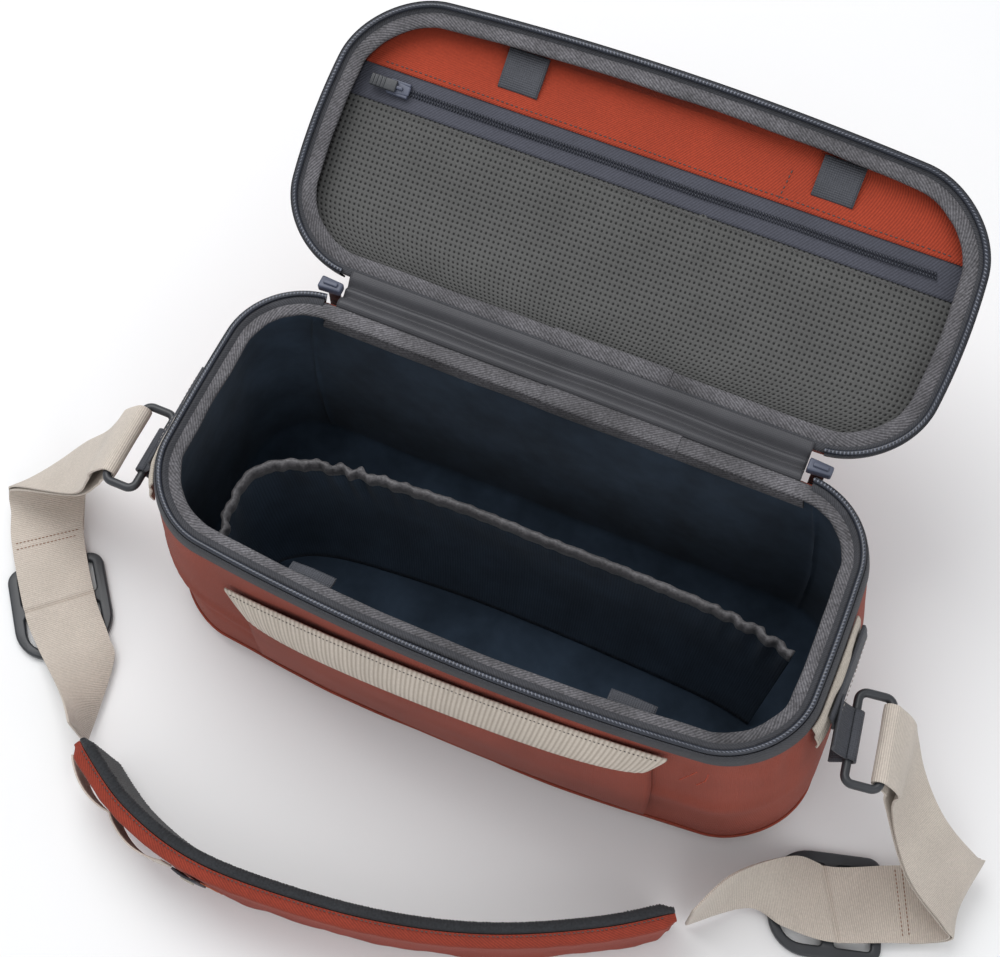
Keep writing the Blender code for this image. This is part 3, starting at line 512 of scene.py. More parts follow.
def make_materials():
    rust, rust_dark = (0.255, 0.047, 0.026), (0.185, 0.032, 0.017)
    navy, navy_dark = (0.031, 0.047, 0.071), (0.023, 0.036, 0.055)
    return {
        "shell": cloth("rust_shell", rust, rust_dark, "plain", 0.9, 0.10, 0.78, 0.05, 0.10, 0.06, 0.25),
        "twill": cloth("red_twill", (0.36, 0.043, 0.014), (0.25, 0.026, 0.009),
                       "twill", 1.2, 0.16, 0.85, 0.03, 0.06, 0.08),
        "pad_twill": cloth("pad_twill", (0.27, 0.036, 0.017), (0.19, 0.024, 0.011),
                           "twill", 1.1, 0.15, 0.85, 0.03, 0.08, 0.08),
        "lining": cloth("navy_suede", navy, navy_dark, "suede", 6.0, 0.18, 0.95, 0.06, 0.3, 0.0, 0.15),
        "ribbed": cloth("ribbed_navy", navy, navy_dark, "rib", 1.5, 0.12, 0.92, 0.05, 0.25, 0.0, 0.15),
        "mesh": cloth("grey_mesh", (0.082, 0.082, 0.080), (0.012, 0.012, 0.012),
                      "mesh", 2.6, 0.45, 0.85, 0.05, 0.08, 0.1),
        "tape": cloth("zip_tape", (0.062, 0.065, 0.085), (0.042, 0.044, 0.058),
                      "twill", 1.3, 0.15, 0.8, 0.05, 0.08, 0.1),
        "binding": cloth("grey_twill", (0.115, 0.111, 0.119), (0.060, 0.058, 0.064),
                         "twill", 1.3, 0.25, 0.75, 0.05, 0.35, 0.35),
        "elastic": cloth("grey_elastic", (0.095, 0.090, 0.094), (0.03, 0.03, 0.033),
                         "suede", 4.0, 0.5, 0.5, 0.1, 0.35, 0.3),
        "gusset": cloth("hinge_fabric", (0.047, 0.047, 0.053), (0.034, 0.034, 0.039),
                        "plain", 0.8, 0.06, 0.5, 0.05, 0.12),
        "cream": cloth("cream_grosgrain", (0.60, 0.53, 0.455), (0.42, 0.36, 0.30),
                       "rib", 2.4, 0.2, 0.8, 0.05, 0.05, 0.04),
        "webbing": cloth("cream_webbing", (0.585, 0.52, 0.45), (0.46, 0.40, 0.345),
                         "rib", 1.15, 0.22, 0.6, 0.1, 0.06, 0.06),
        "band": cloth("cream_band", (0.54, 0.48, 0.41), (0.40, 0.35, 0.29),
                      "plain", 1.2, 0.2, 0.8, 0.05, 0.12, 0.1),
        "tab": cloth("dark_webbing", (0.052, 0.055, 0.066), (0.033, 0.035, 0.043),
                     "plain", 1.1, 0.15, 0.6, 0.05, 0.15, 0.1),
        "airmesh": cloth("spacer_mesh", (0.024, 0.026, 0.030), (0.012, 0.013, 0.015),
                         "suede", 1.2, 0.3, 0.85, 0.1, 0.2, 0.2),
        "rim_tape": cloth("rim_tape", (0.047, 0.048, 0.055), (0.03, 0.031, 0.036),
                          "twill", 1.1, 0.12, 0.8, 0.05, 0.1, 0.15),
        # coil teeth: the cord's dark nylon painted lighter, a painted highlight on the teeth's crowns
        "painted_highlight_teeth": moulded("coil_nylon_painted_highlight", (0.13, 0.14, 0.17), 0.22),
        "coil": moulded("coil_nylon", (0.016, 0.019, 0.028), 0.28),
        "hard": moulded("dark_plastic", (0.022, 0.024, 0.028), 0.40),
        "slider": moulded("slider_lacquer", (0.060, 0.068, 0.100), 0.45),
        "red_thread": moulded("red_thread", (0.36, 0.050, 0.022), 0.7),
        "dark_thread": moulded("dark_thread", (0.06, 0.055, 0.055), 0.7),
        "pale_thread": moulded("pale_thread", (0.33, 0.30, 0.28), 0.7),
        "brown_thread": moulded("brown_thread", (0.24, 0.13, 0.085), 0.7),
        "orange_thread": moulded("orange_thread", (0.42, 0.10, 0.03), 0.7),
        "foam": cloth("closed_foam", (0.05, 0.05, 0.05), (0.03, 0.03, 0.03), "suede", 2.0, 0.3),
        "board": moulded("base_board", (0.05, 0.05, 0.05), 0.6),
    }


# ---------------------------------------------------------------- bag body
def shell_fold(p, z, k):
    """How far the soft shell stands out (+) or in (-) from its padded wall at a point of the outline."""
    out = ripple(p.x, p.y, z, 70.0, 1.6) + ripple(p.x, p.y, z, 26.0, 0.5, 3.0)
    low = ease((BODY_HEIGHT - TAPE_HEIGHT - z) / 14.0)
    fade = bump_at(z, BODY_HEIGHT - TAPE_HEIGHT, 34.0)
    right = k / FINE
    out += 1.1 * fade * bump_at(right, 37.2, 1.9) * math.sin(k * 0.62)
    out += 0.9 * fade * bump_at(right, 19.5, 1.6) * math.sin(k * 0.5)
    crease = 78.0 - 5.5 * (right - 20.0)
    out += 1.8 * bump_at(z, crease, 6.0) * bump_at(right, 23.5, 4.0)
    out -= 1.2 * bump_at(z, crease - 11.0, 6.0) * bump_at(right, 23.5, 4.0)
    sag = 58.0 + 3.0 * (right - 33.0)
    out += 1.6 * bump_at(z, sag, 8.0) * bump_at(right, 34.0, 3.4)
    return out * low * ease(z / 12.0)


def make_shell(mats):
    top = BODY_HEIGHT - TAPE_HEIGHT + 3.0
    rows = []
    for depth in (SHELL_IN, SHELL_IN + 1.6):
        radius = BASE_EDGE_RADIUS - depth
        half = []
        edge = BASE_EDGE_RADIUS - SHELL_IN
        for a in np.radians(np.linspace(0, 90, 7))[:-1]:
            half.append(body_loop(edge - radius * math.cos(a) + 0.3, BASE_EDGE_RADIUS - radius * math.sin(a)))
        for z in np.linspace(edge, top, 44):
            ring = []
            for k, (p, n) in enumerate(body_loop(z, depth)):
                ring.append((p + n * shell_fold(p, z, k), n))
            half.append(ring)
        rows += half if depth == SHELL_IN else half[::-1]
    points = [[p for p, n in row] for row in rows]
    shell = skin("outer_shell_cloth", points, mats["shell"], wrap_cols=True, caps=True)
    place(shell, "bag", "shell_fabric", "outer_shell")
    seam = [p + n * (shell_fold(p, 14.0, k) + 0.4) for k, (p, n) in enumerate(body_loop(14.0, SHELL_IN))]
    piping = tube("base_seam", seam, 0.8, mats["shell"], wrap=True)
    place(piping, "bag", "shell_fabric")


def zip_tape(name, loop_at, low, high, mats, lid=False):
    """A zip tape on a rim: outer face, top edge and inner face."""
    rows = []
    for h, depth in ((low, 0.0), ((low + high) / 2, -0.15), (high - 0.4, 0.0), (high, 0.4), (high - 0.4, 0.9),
                     (low, 1.0)):
        rows.append([p for p, n in zip_run(loop_at(h, depth))])
    return skin(name, rows, mats["rim_tape"], wrap_rows=True, lid=lid)


def make_coil(name, loop, mats, lid, up):
    """Coil teeth on their cord. The teeth take a lighter copy of the cord's dark nylon as a painted highlight.
    """
    line = [p for p, n in zip_run(loop)]
    count = int(length_of(line) / COIL_PITCH)
    fine = resample(line, count)
    facing = resample([n for p, n in zip_run(loop)], count)
    spots = []
    for p, n, t in zip(fine, facing, directions(fine)):
        spots.append((p + up * COIL_RISE, t, n.normalized(), up))
    # the teeth use the lighter nylon, which is a painted highlight
    teeth = beads(name + "_teeth", spots, (0.55, 0.95, 0.55), mats["painted_highlight_teeth"], lid=lid)
    cord = tube(name + "_cord", fine, COIL_CORD, mats["coil"], lid=lid)
    return join(name, [teeth, cord])


def binding_ring(name, loop_at, low, inset, width, mat, seed, up=1.0, start=0, stop=COUNT, lid=False,
                 thick=3.4):
    """A twill tape folded over an edge, a little uneven in height and width."""
    whole = start == 0 and stop == COUNT
    section = []
    for a in np.radians(np.arange(0, 360, 30)):
        section.append((0.5 + 0.5 * math.copysign(abs(math.cos(a)) ** 0.7, math.cos(a)),
                        0.5 * math.copysign(abs(math.sin(a)) ** 0.8, math.sin(a))))
    columns = []
    for u, v in section:
        loop = loop_at(low + up * thick * v, inset + width * u)
        ring = []
        for k in range(start, stop if whole else stop + 1):
            p, n = loop[k % COUNT]
            wave = ripple(k / 9.0, u * 2, seed, 1.0, 0.5, seed)
            lift = ripple(k / 6.0, u * 3, seed, 1.0, 0.5, seed + 5) * u
            ring.append(p + n * wave * u + Vector((0, 0, lift)))
        columns.append(ring)
    rows = [list(r) for r in zip(*columns)]
    return skin(name, rows, mat, wrap_rows=whole, wrap_cols=True, caps=not whole, lid=lid, sharp=70.0)


def make_rim(mats):
    """The body's zip tape and coil, its bound edge and the bound strip under the back rim."""
    tape = zip_tape("body_zip_tape_cloth", body_loop, BODY_HEIGHT - TAPE_HEIGHT, BODY_HEIGHT - 1.2, mats)
    place(tape, "bag", "zip_tape", "body_zip_tape")
    coil = make_coil("body_zip_teeth", body_loop(BODY_HEIGHT - 0.9, 2.2), mats, False, Vector((0, 0, 1)))
    place(coil, "bag", "zip_coil", "body_zip_coil")

    def inner_line(inset, height):
        pts = []
        for k, (p, n) in enumerate(body_loop(BODY_HEIGHT - height, inset)):
            front = bump_at(k / FINE, 29.0, 4.5)
            pts.append(p - n * front * (1.2 + ripple(k / 14.0, 0, 0, 1.0, 1.0)))
        return zip_run(pts)

    rows = [inner_line(inset, height) for inset, height in ((2.6, 1.9), (4.6, 1.6), (6.4, 3.0), (7.6, 4.6))]
    place(skin("zip_tape_underside", rows, mats["rim_tape"], thick=0.6), "bag", "zip_tape")
    edge = []
    for inset, height in ((0.6, 2.4), (3.2, 2.2)):
        edge.append([p for p, n in zip_run(body_loop(BODY_HEIGHT - height, inset))])
    place(skin("zip_tape_edge", edge, mats["rim_tape"], thick=0.5), "bag", "zip_tape")
    low = BODY_HEIGHT - 4.6
    ring = binding_ring("body_binding_twill", body_loop, low, BINDING_IN + 0.4, BINDING_WIDTH - 0.4,
                        mats["binding"], 1.0)
    lap = binding_ring("body_binding_lap", body_loop, low + 0.35, BINDING_IN, BINDING_WIDTH + 0.6,
                       mats["binding"], 9.0, start=2 * FINE, stop=int(4.3 * FINE), thick=4.0)
    place(join("body_rim_binding_twill", [ring, lap]), "bag", "grey_binding", "body_rim_binding")
    strip = binding_ring("rear_rim_strip_twill", body_loop, BODY_HEIGHT - 13.5, CAVITY_IN - 0.2, 2.4,
                         mats["binding"], 4.0, start=0, stop=8 * FINE, thick=7.0)
    place(strip, "bag", "grey_binding", "rear_rim_strip")


def make_lining(mats):
    """Padded navy walls and floor, with a sewn seam at each back corner."""
    seams = (8.6, 49.2)
    rows = []
    top = BODY_HEIGHT - 6.5
    for depth in (CAVITY_IN, CAVITY_IN - 1.0):
        radius = BASE_EDGE_RADIUS - depth
        edge = BASE_EDGE_RADIUS - SHELL_IN
        half = []
        for a in np.radians(np.linspace(0, 90, 5))[:-1]:
            height = edge - radius * math.cos(a)
            half.append([p for p, n in body_loop(height, BASE_EDGE_RADIUS - radius * math.sin(a))])
        for z in np.linspace(edge, top, 30):
            ring = []
            for k, (p, n) in enumerate(body_loop(z, depth)):
                at = k / FINE
                fold = ripple(p.x, p.y, z, 60.0, 1.0, 2.0) + ripple(p.x, p.y, z, 22.0, 0.35, 6.0)
                for seam in seams:
                    fold += 1.2 * bump_at(at, seam + 0.4 * (z / BODY_HEIGHT - 0.5), 0.12)
                fold = -abs(fold) if depth == CAVITY_IN else 0
                ring.append(p + n * fold * ease((top - z) / 10.0))
            half.append(ring)
        rows += half if depth == CAVITY_IN else half[::-1]
    lining = skin("lining_suede", rows, mats["lining"], wrap_cols=True, caps=True)
    place(lining, "bag", "navy_lining", "lining")


POCKET_LOW = 22.0
POCKET_MOUTH_LEFT = 104.0
POCKET_MOUTH_RISE = 18.0
POCKET_BINDING = 22.0
POCKET_BULGE = 7.0
POCKET_FIRST, POCKET_LAST = 25 * FINE, 33 * FINE


def pocket_mouth(u):
    return POCKET_MOUTH_LEFT + POCKET_MOUTH_RISE * u + 4.0 * math.sin(math.pi * min(1, max(0, u)))


def pocket_lift(u, z):
    """How far the pocket's cloth stands out from the wall at a share of its length and a height."""
    full = POCKET_BULGE * math.sqrt(max(0.0, 1 - (2 * u - 1) ** 4))
    mouth = pocket_mouth(u)
    brim = mouth - POCKET_BINDING
    if z < brim:
        return full * math.sin(max(0.0, (z - POCKET_LOW) / (brim - POCKET_LOW)) * math.pi / 2) ** 0.8
    return full * math.cos(min(1.0, (z - brim) / POCKET_BINDING) * math.pi / 2)


def wall_point(k, z, out):
    """A point on the body's wall at a fine outline index, which may lie between two."""
    loop = body_loop(z, 0.0)
    low = int(math.floor(k))
    p, n = loop[low % COUNT]
    q, m = loop[(low + 1) % COUNT]
    share = k - low
    return p.lerp(q, share) + n.lerp(m, share) * out


def make_front_pocket(mats):
    """Slip pocket: soft panel and a ribbed mouth binding with slanted ends and a stitched bar."""
    steps = POCKET_LAST - POCKET_FIRST
    rows = []
    for v in np.linspace(0, 1, 26):
        row = []
        for k in range(steps + 1):
            u = k / steps
            top = pocket_mouth(u) - POCKET_BINDING + 1.5
            z = round(POCKET_LOW + (top - POCKET_LOW) * v, 1)
            soft = ripple(k / 12.0, v * 4, 2.0, 1.0, 0.9) * math.sin(math.pi * v) * math.sin(math.pi * u)
            row.append(wall_point(POCKET_FIRST + k, z, 0.2 + pocket_lift(u, z) + soft))
        rows.append(row)
    panel = skin("front_pocket_cloth", rows, mats["shell"], thick=1.0)
    place(panel, "bag", "shell_fabric", "front_pocket_panel")

    ribs = 2 * steps + 120
    rows = []
    for v in np.linspace(0, 1, 12):
        row = []
        for k in range(ribs + 1):
            u = k / ribs
            reach = 0.5 + (u - 0.5) * (1.09 - 0.10 * (1 - v))
            mouth = pocket_mouth(u)
            z = round(mouth - POCKET_BINDING * (1 - v), 1)
            rib = 0.14 * math.sin(k * math.pi / 2.0)
            edge = ease(v * 12) * ease((1 - v) * 12)
            out = 0.9 + pocket_lift(u, z) + (0.5 + rib) * edge
            row.append(wall_point(POCKET_FIRST + reach * steps, z, out))
        rows.append(row)
    band = skin("front_pocket_band", rows, mats["cream"], thick=1.0, sharp=80.0)
    place(band, "bag", "cream_webbing", "front_pocket_binding")
    line = []
    for k in range(ribs + 1):
        u = k / ribs
        z = round(pocket_mouth(u) - 1.8, 1)
        line.append(wall_point(POCKET_FIRST + (0.5 + (u - 0.5) * 1.09) * steps, z, 2.1 + pocket_lift(u, z)))
    facing = Vector((0, -0.8, 0.6))
    sewn = stitches("pocket_mouth_stitching", line[4:-4], facing, mats["dark_thread"], 2.0, 1.2, 0.25)
    place(sewn, "bag", "cream_webbing")
    bars = []
    for shift in (1.2, 3.6):
        line = []
        for v in np.linspace(0, 1, 12):
            z = round(pocket_mouth(1.0) - 3 - 20.0 * (1 - v), 1)
            line.append(wall_point(POCKET_LAST + 3.0 + shift + 3.0 * v, z, 1.1))
        bars.append(stitches("bar", line, Vector((0, -1, 0)), mats["red_thread"], 2.2, 1.7, 0.4))
    place(join("pocket_bar_stitching", bars), "bag", "shell_fabric")


POCKET_MOUTH = [(-127, -54), (-132, -33), (-127, -12), (-97, 2), (-34, 8), (19, 8), (71, 8), (117, 6),
                (146, 0)]
POCKET_FOOT = [(-118, -52), (-124, -36), (-120, -22), (-94, -10), (-34, -4), (19, -3), (71, -4), (117, -6),
               (140, -10)]
POCKET_TOP_Z = 92.0
POCKET_FOOT_Z = 9.0


def make_stretch_pocket(mats):
    """Ribbed pocket panel gathered under a ruffled elastic edge."""
    steps = 420
    mouth = spline([(x, y, POCKET_TOP_Z) for x, y in POCKET_MOUTH], steps)
    foot = spline([(x, y, POCKET_FOOT_Z) for x, y in POCKET_FOOT], steps)
    ahead = directions(mouth)
    out = [Vector((-t.y, t.x, 0)) for t in ahead]

    def gather(k):
        s = k / steps
        ends = 0.8 * bump_at(s, 0.02, 0.06)
        return 0.25 + 1.0 * bump_at(s, 0.27, 0.09) + ends + 1.1 * bump_at(s, 0.95, 0.07)

    def ruffle(k):
        phase = k * 0.42 + 2.4 * noise.noise(Vector((k / 23.0, 0, 0)))
        return gather(k) * (0.8 * math.sin(phase) + 0.5 * noise.noise(Vector((k / 5.0, 7, 0))))

    rows = []
    for v in np.linspace(0, 1, 26):
        row = []
        for k in range(steps):
            point = foot[k].lerp(mouth[k], v) + out[k] * 5.0 * math.sin(math.pi * v)
            crease = 1.3 * ruffle(k) * ease((v - 0.55) / 0.45)
            crease += ripple(point.x, point.z, 0, 40.0, 1.2) * math.sin(math.pi * v)
            row.append(point + out[k] * crease)
        rows.append(row)
    panel = skin("stretch_pocket_cloth", rows, mats["ribbed"], thick=0.8)
    place(panel, "bag", "navy_lining", "stretch_pocket_panel")

    section = [(-1.0, -1.5), (-1.7, 2.0), (-1.9, 5.0), (-1.2, 6.9), (0.2, 7.5), (1.5, 6.8), (1.9, 4.6),
               (1.6, 1.5), (0.9, -1.5)]
    rows = []
    for k in range(steps):
        push = ruffle(k)
        lift = 0.9 * gather(k) * noise.noise(Vector((k / 6.0, 3, 1)))
        fat = 1.0 + 0.25 * gather(k) * math.sin(k * 0.83)
        rows.append([mouth[k] + out[k] * (a * fat + push) + Vector((0, 0, b + lift * b / 7))
                     for a, b in section])
    band = skin("stretch_pocket_band", rows, mats["elastic"], wrap_cols=True, caps=True, sharp=80.0)
    place(band, "bag", "grey_binding", "stretch_pocket_elastic")


def tab_strip(node_name, centre, size, turn, mats, lid=False):
    """A short doubled webbing tab: two layers joined by a round fold at its free end."""
    name = node_name + "_cloth"
    body = "lid" if lid else "bag"
    fold = 2.2
    w, l, t = size
    line = [(-l / 2, t / 2), (l / 2 - fold, t / 2)]
    for a in np.radians(np.linspace(90, -90, 7)):
        line.append((l / 2 - fold + fold * 0.5 * math.cos(a), t / 2 * math.sin(a)))
    line.append((-l / 2, -t / 2))
    rows = []
    fine = [Vector((0, a, b)) for a, b in line]
    for s in np.linspace(-0.5, 0.5, 10):
        bow = 0.5 * math.cos(math.pi * s)
        row = []
        for p in fine:
            rise = bow + ripple(s * 3, p.y / 5, 1, 1.0, 0.3)
            row.append(turn @ (p + Vector((s * w, 0, rise))) + centre)
        rows.append(row)
    place(skin(name, rows, mats["tab"], thick=0.9, lid=lid), body, "dark_webbing", node_name)


def make_inner_tabs(mats):
    for side in ("left", "right"):
        low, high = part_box(f"inner_tab_{side}")
        centre = (low + high) / 2 / MM
        turn = Matrix.Rotation(math.radians(-20.0), 3, "X")
        tab_strip(f"inner_tab_{side}", centre, (22.0, 11.0, 1.4), turn, mats)


def make_side_fittings(mats):
    """Gathered cream bands, dark patches and their stitching."""
    spans = {"left": (15, 20, 15, 18), "right": (39, 43, 40, 43)}
    for side, (first, last, p_first, p_last) in spans.items():
        high = BODY_HEIGHT - TAPE_HEIGHT + 1.0
        low = 107.0
        rows = []
        for v in np.linspace(0, 1, 14):
            z = round(low + (high - low) * v, 1)
            row = []
            for k in np.arange(first * FINE, last * FINE + 0.01, 0.5):
                pleat = 0.9 * math.sin(v * 9 + 2 * noise.noise(Vector((k / 9, v * 2, 0))))
                pleat += 0.5 * noise.noise(Vector((k / 4, v * 5, 2)))
                swell = math.sin(math.pi * v)
                row.append(wall_point(k, z, 0.9 + pleat * swell + 1.2 * swell))
            rows.append(row)
        band = skin(f"side_band_{side}", rows, mats["band"], thick=1.0)
        place(band, "bag", "cream_webbing", f"side_webbing_{side}")
        rows = []
        for v in np.linspace(0, 1, 9):
            z = round(109.0 + 14.0 * v, 1)
            row = []
            for k in range(p_first * FINE, p_last * FINE + 1):
                swell = 0.8 * math.sin(math.pi * v)
                row.append(wall_point(k, z, 3.4 + swell + ripple(k / 8, v * 3, 1, 1.0, 0.4)))
            rows.append(row)
        patch = skin(f"anchor_patch_{side}_cloth", rows, mats["tab"], thick=1.4)
        place(patch, "bag", "dark_webbing", f"anchor_patch_{side}")
        line = [p + Vector((math.copysign(1.4, p.x), 0, 0)) for p in rows[4]]
        place(stitches(f"anchor_stitching_{side}", line, Vector((math.copysign(1, line[0].x), 0, 0)),
                       mats["pale_thread"], 2.4, 1.6, 0.3), "bag", "dark_webbing")


def make_hinge(mats):
    """Soft hinge cloth in two broad folds, from under the back binding to under the lid's binding."""
    half = 120.0
    profile = [(66.8, 135.4), (68.6, 137.4), (71.4, 136.6), (74.2, 133.9), (77.2, 136.0), (79.6, 134.9),
               (82.6, 138.6), (86.2, 139.8)]
    line = spline([(0, y, z) for y, z in profile], 44)
    rows = []
    for x in np.linspace(-half, half, 160):
        ends = ease((abs(x) - 116.0) / 5.0)
        row = []
        for j, p in enumerate(line):
            middle = math.sin(math.pi * j / 43)
            drift = (ripple(x, j * 1.5, 0, 70.0, 1.2) + ripple(x, j, 4, 25.0, 0.4)) * middle
            row.append(Vector((x, p.y + drift * 0.3, p.z + drift * (1 - ends) - 0.6 * ends * middle)))
        rows.append(row)
    cloth_piece = skin("hinge_cloth", rows, mats["gusset"], thick=0.8)
    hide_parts("hinge_gusset")
    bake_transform(cloth_piece)


def make_main_sliders(mats):
    """Lacquered sliders with a bridge, and ribbed pulls hanging behind the bag."""
    for side in ("left", "right"):
        low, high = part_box(f"zip_slider_{side}")
        c = (low + high) / 2 / MM
        size = (high - low) / MM
        base = block("slider_body", (size.x, size.y, size.z), c, mats["slider"], 1.1, taper=0.25)
        top = c + Vector((0, 0, size.z / 2 + 0.4))
        bridge = block("slider_bridge", (size.x * 0.62, 2.4, 1.6), top, mats["slider"], 0.6)
        slider = join(f"zip_slider_{side}_body", [base, bridge])
        place(slider, f"zip_slider_{side}", "slider_metal", f"zip_slider_{side}")
        low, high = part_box(f"zip_pull_{side}")
        c = (low + high) / 2 / MM
        size = (high - low) / MM
        blade = size.z - 5.6
        spot = c - Vector((0, 0, (size.z - blade) / 2))
        parts = [block("pull_blade", (size.x, size.y, blade), spot, mats["hard"], 0.7)]
        spot = c + Vector((0, 0, size.z / 2 - 3.6))
        parts.append(block("pull_neck", (1.7, 1.5, 7.0), spot, mats["hard"], 0.3))
        for j in range(4):
            spot = c + Vector((0, 0, -size.z / 2 + 4 + 2.6 * j))
            parts.append(block("pull_rib", (size.x * 0.9, size.y + 0.5, 1.0), spot, mats["hard"], 0.3))
        place(join(f"zip_pull_{side}_body", parts), f"zip_pull_{side}", "dark_plastic", f"zip_pull_{side}")


# ---------------------------------------------------------------- lid
def make_lid_shell(mats):
    rim = 3.0
    rows = []
    for depth in (SHELL_IN, SHELL_IN + 1.4):
        radius = LID_EDGE_RADIUS - depth
        half = []
        for h in np.linspace(rim, LID_DEPTH - LID_EDGE_RADIUS, 8):
            half.append([p + n * ripple(p.x, p.y, h, 60.0, 0.7) for p, n in lid_loop(h, depth)])
        for a in np.radians(np.linspace(0, 90, 8))[1:]:
            height = LID_DEPTH - LID_EDGE_RADIUS + radius * math.sin(a)
            half.append([p for p, n in lid_loop(height, LID_EDGE_RADIUS - radius * math.cos(a))])
        for inset, rise in ((20.0, 0.25), (26.0, 0.6), (31.0, 0.85), (35.0, 1.0)):
            half.append([p for p, n in lid_loop(LID_DEPTH - depth + LID_CROWN * rise, inset)])
        rows += half[::-1] if depth == SHELL_IN else half
    shell = skin("lid_shell_cloth", rows, mats["shell"], wrap_cols=True, caps=True, lid=True)
    place(shell, "lid", "shell_fabric", "lid_shell")
    seam = [p for p, n in lid_loop(LID_DEPTH - 4.2, LID_EDGE_RADIUS - 13.9 * math.cos(0.9) + 0.2)]
    place(tube("lid_seam", seam, 0.8, mats["shell"], wrap=True, lid=True), "lid", "shell_fabric")


def make_lid_rim(mats):
    up = Vector((0, 0, -1))
    tape = zip_tape("lid_zip_tape_cloth", lid_loop, TAPE_HEIGHT, 1.2, mats, lid=True)
    place(tape, "lid", "zip_tape", "lid_zip_tape")
    coil = make_coil("lid_zip_teeth", lid_loop(0.9, 2.2), mats, True, up)
    place(coil, "lid", "zip_coil", "lid_zip_coil")
    rows = []
    for inset, height in ((0.9, 2.6), (2.6, 2.3), (4.6, 2.6), (6.0, 4.0)):
        rows.append([p for p, n in lid_loop(height, inset)])
    edge = skin("lid_tape_edge", rows, mats["rim_tape"], wrap_cols=True, thick=0.5, lid=True)
    place(edge, "lid", "zip_tape")
    low = 4.4
    ring = binding_ring("lid_binding_a", lid_loop, low, BINDING_IN + 0.4, BINDING_WIDTH - 0.6,
                        mats["binding"], 21.0, up=-1.0, lid=True)
    lap = binding_ring("lid_binding_b", lid_loop, low - 0.4, BINDING_IN, BINDING_WIDTH + 0.6, mats["binding"],
                       31.0, up=-1.0, start=int(2.6 * FINE), stop=int(4.6 * FINE), lid=True, thick=4.0)
    place(join("lid_rim_binding_twill", [ring, lap]), "lid", "grey_binding", "lid_rim_binding")


def make_lid_lining(mats):
    """The lid's dark side walls and roof, seen between the binding and the flat inner face."""
    rows = []
    for depth in (LINING_IN, CAVITY_IN):
        half = []
        for h in np.linspace(7.5, LID_DEPTH - LID_EDGE_RADIUS, 7):
            half.append([p + n * ripple(p.x, p.y, h, 20.0, 0.4) for p, n in lid_loop(h, depth)])
        radius = LID_EDGE_RADIUS - depth
        for a in np.radians(np.linspace(0, 90, 5))[1:]:
            height = LID_DEPTH - LID_EDGE_RADIUS + radius * math.sin(a)
            half.append([p for p, n in lid_loop(height, LID_EDGE_RADIUS - radius * math.cos(a))])
        half.append([p for p, n in lid_loop(LID_DEPTH - depth + 2.0, 30.0)])
        rows += half[::-1] if depth == LINING_IN else half
    lining = skin("lid_lining_cloth", rows, mats["gusset"], wrap_cols=True, caps=True, lid=True)
    place(lining, "lid", "navy_lining", "lid_lining")


def clip_rows(y_low, y_high, inset, across, along, height):
    """A grid on the lid's flat inner face between two y lines, its ends on the lid's outline."""
    loop = [p for p, n in lid_loop(0, inset)]
    ys = np.array([p.y for p in loop])
    xs = np.array([p.x for p in loop])
    rows = []
    for v in np.linspace(0, 1, across):
        y = y_low + (y_high - y_low) * v
        row = []
        for u in np.linspace(0, 1, along):
            ends = []
            for side in (-1, 1):
                mask = xs * side > 0
                order = np.argsort(ys[mask])
                top = min(max(y, ys[mask].min()), ys[mask].max())
                ends.append(float(np.interp(top, ys[mask][order], xs[mask][order])))
            x = ends[0] + (ends[1] - ends[0]) * u
            front = front_edge(x, loop)
            row.append(Vector((x, max(y, front), LID_RIM + height(x, y))))
        rows.append(row)
    return rows


def front_edge(x, loop):
    """The y of the outline's front at an x."""
    near = [p for p in loop if p.y < 0]
    near.sort(key=lambda p: p.x)
    return float(np.interp(x, [p.x for p in near], [p.y for p in near]))


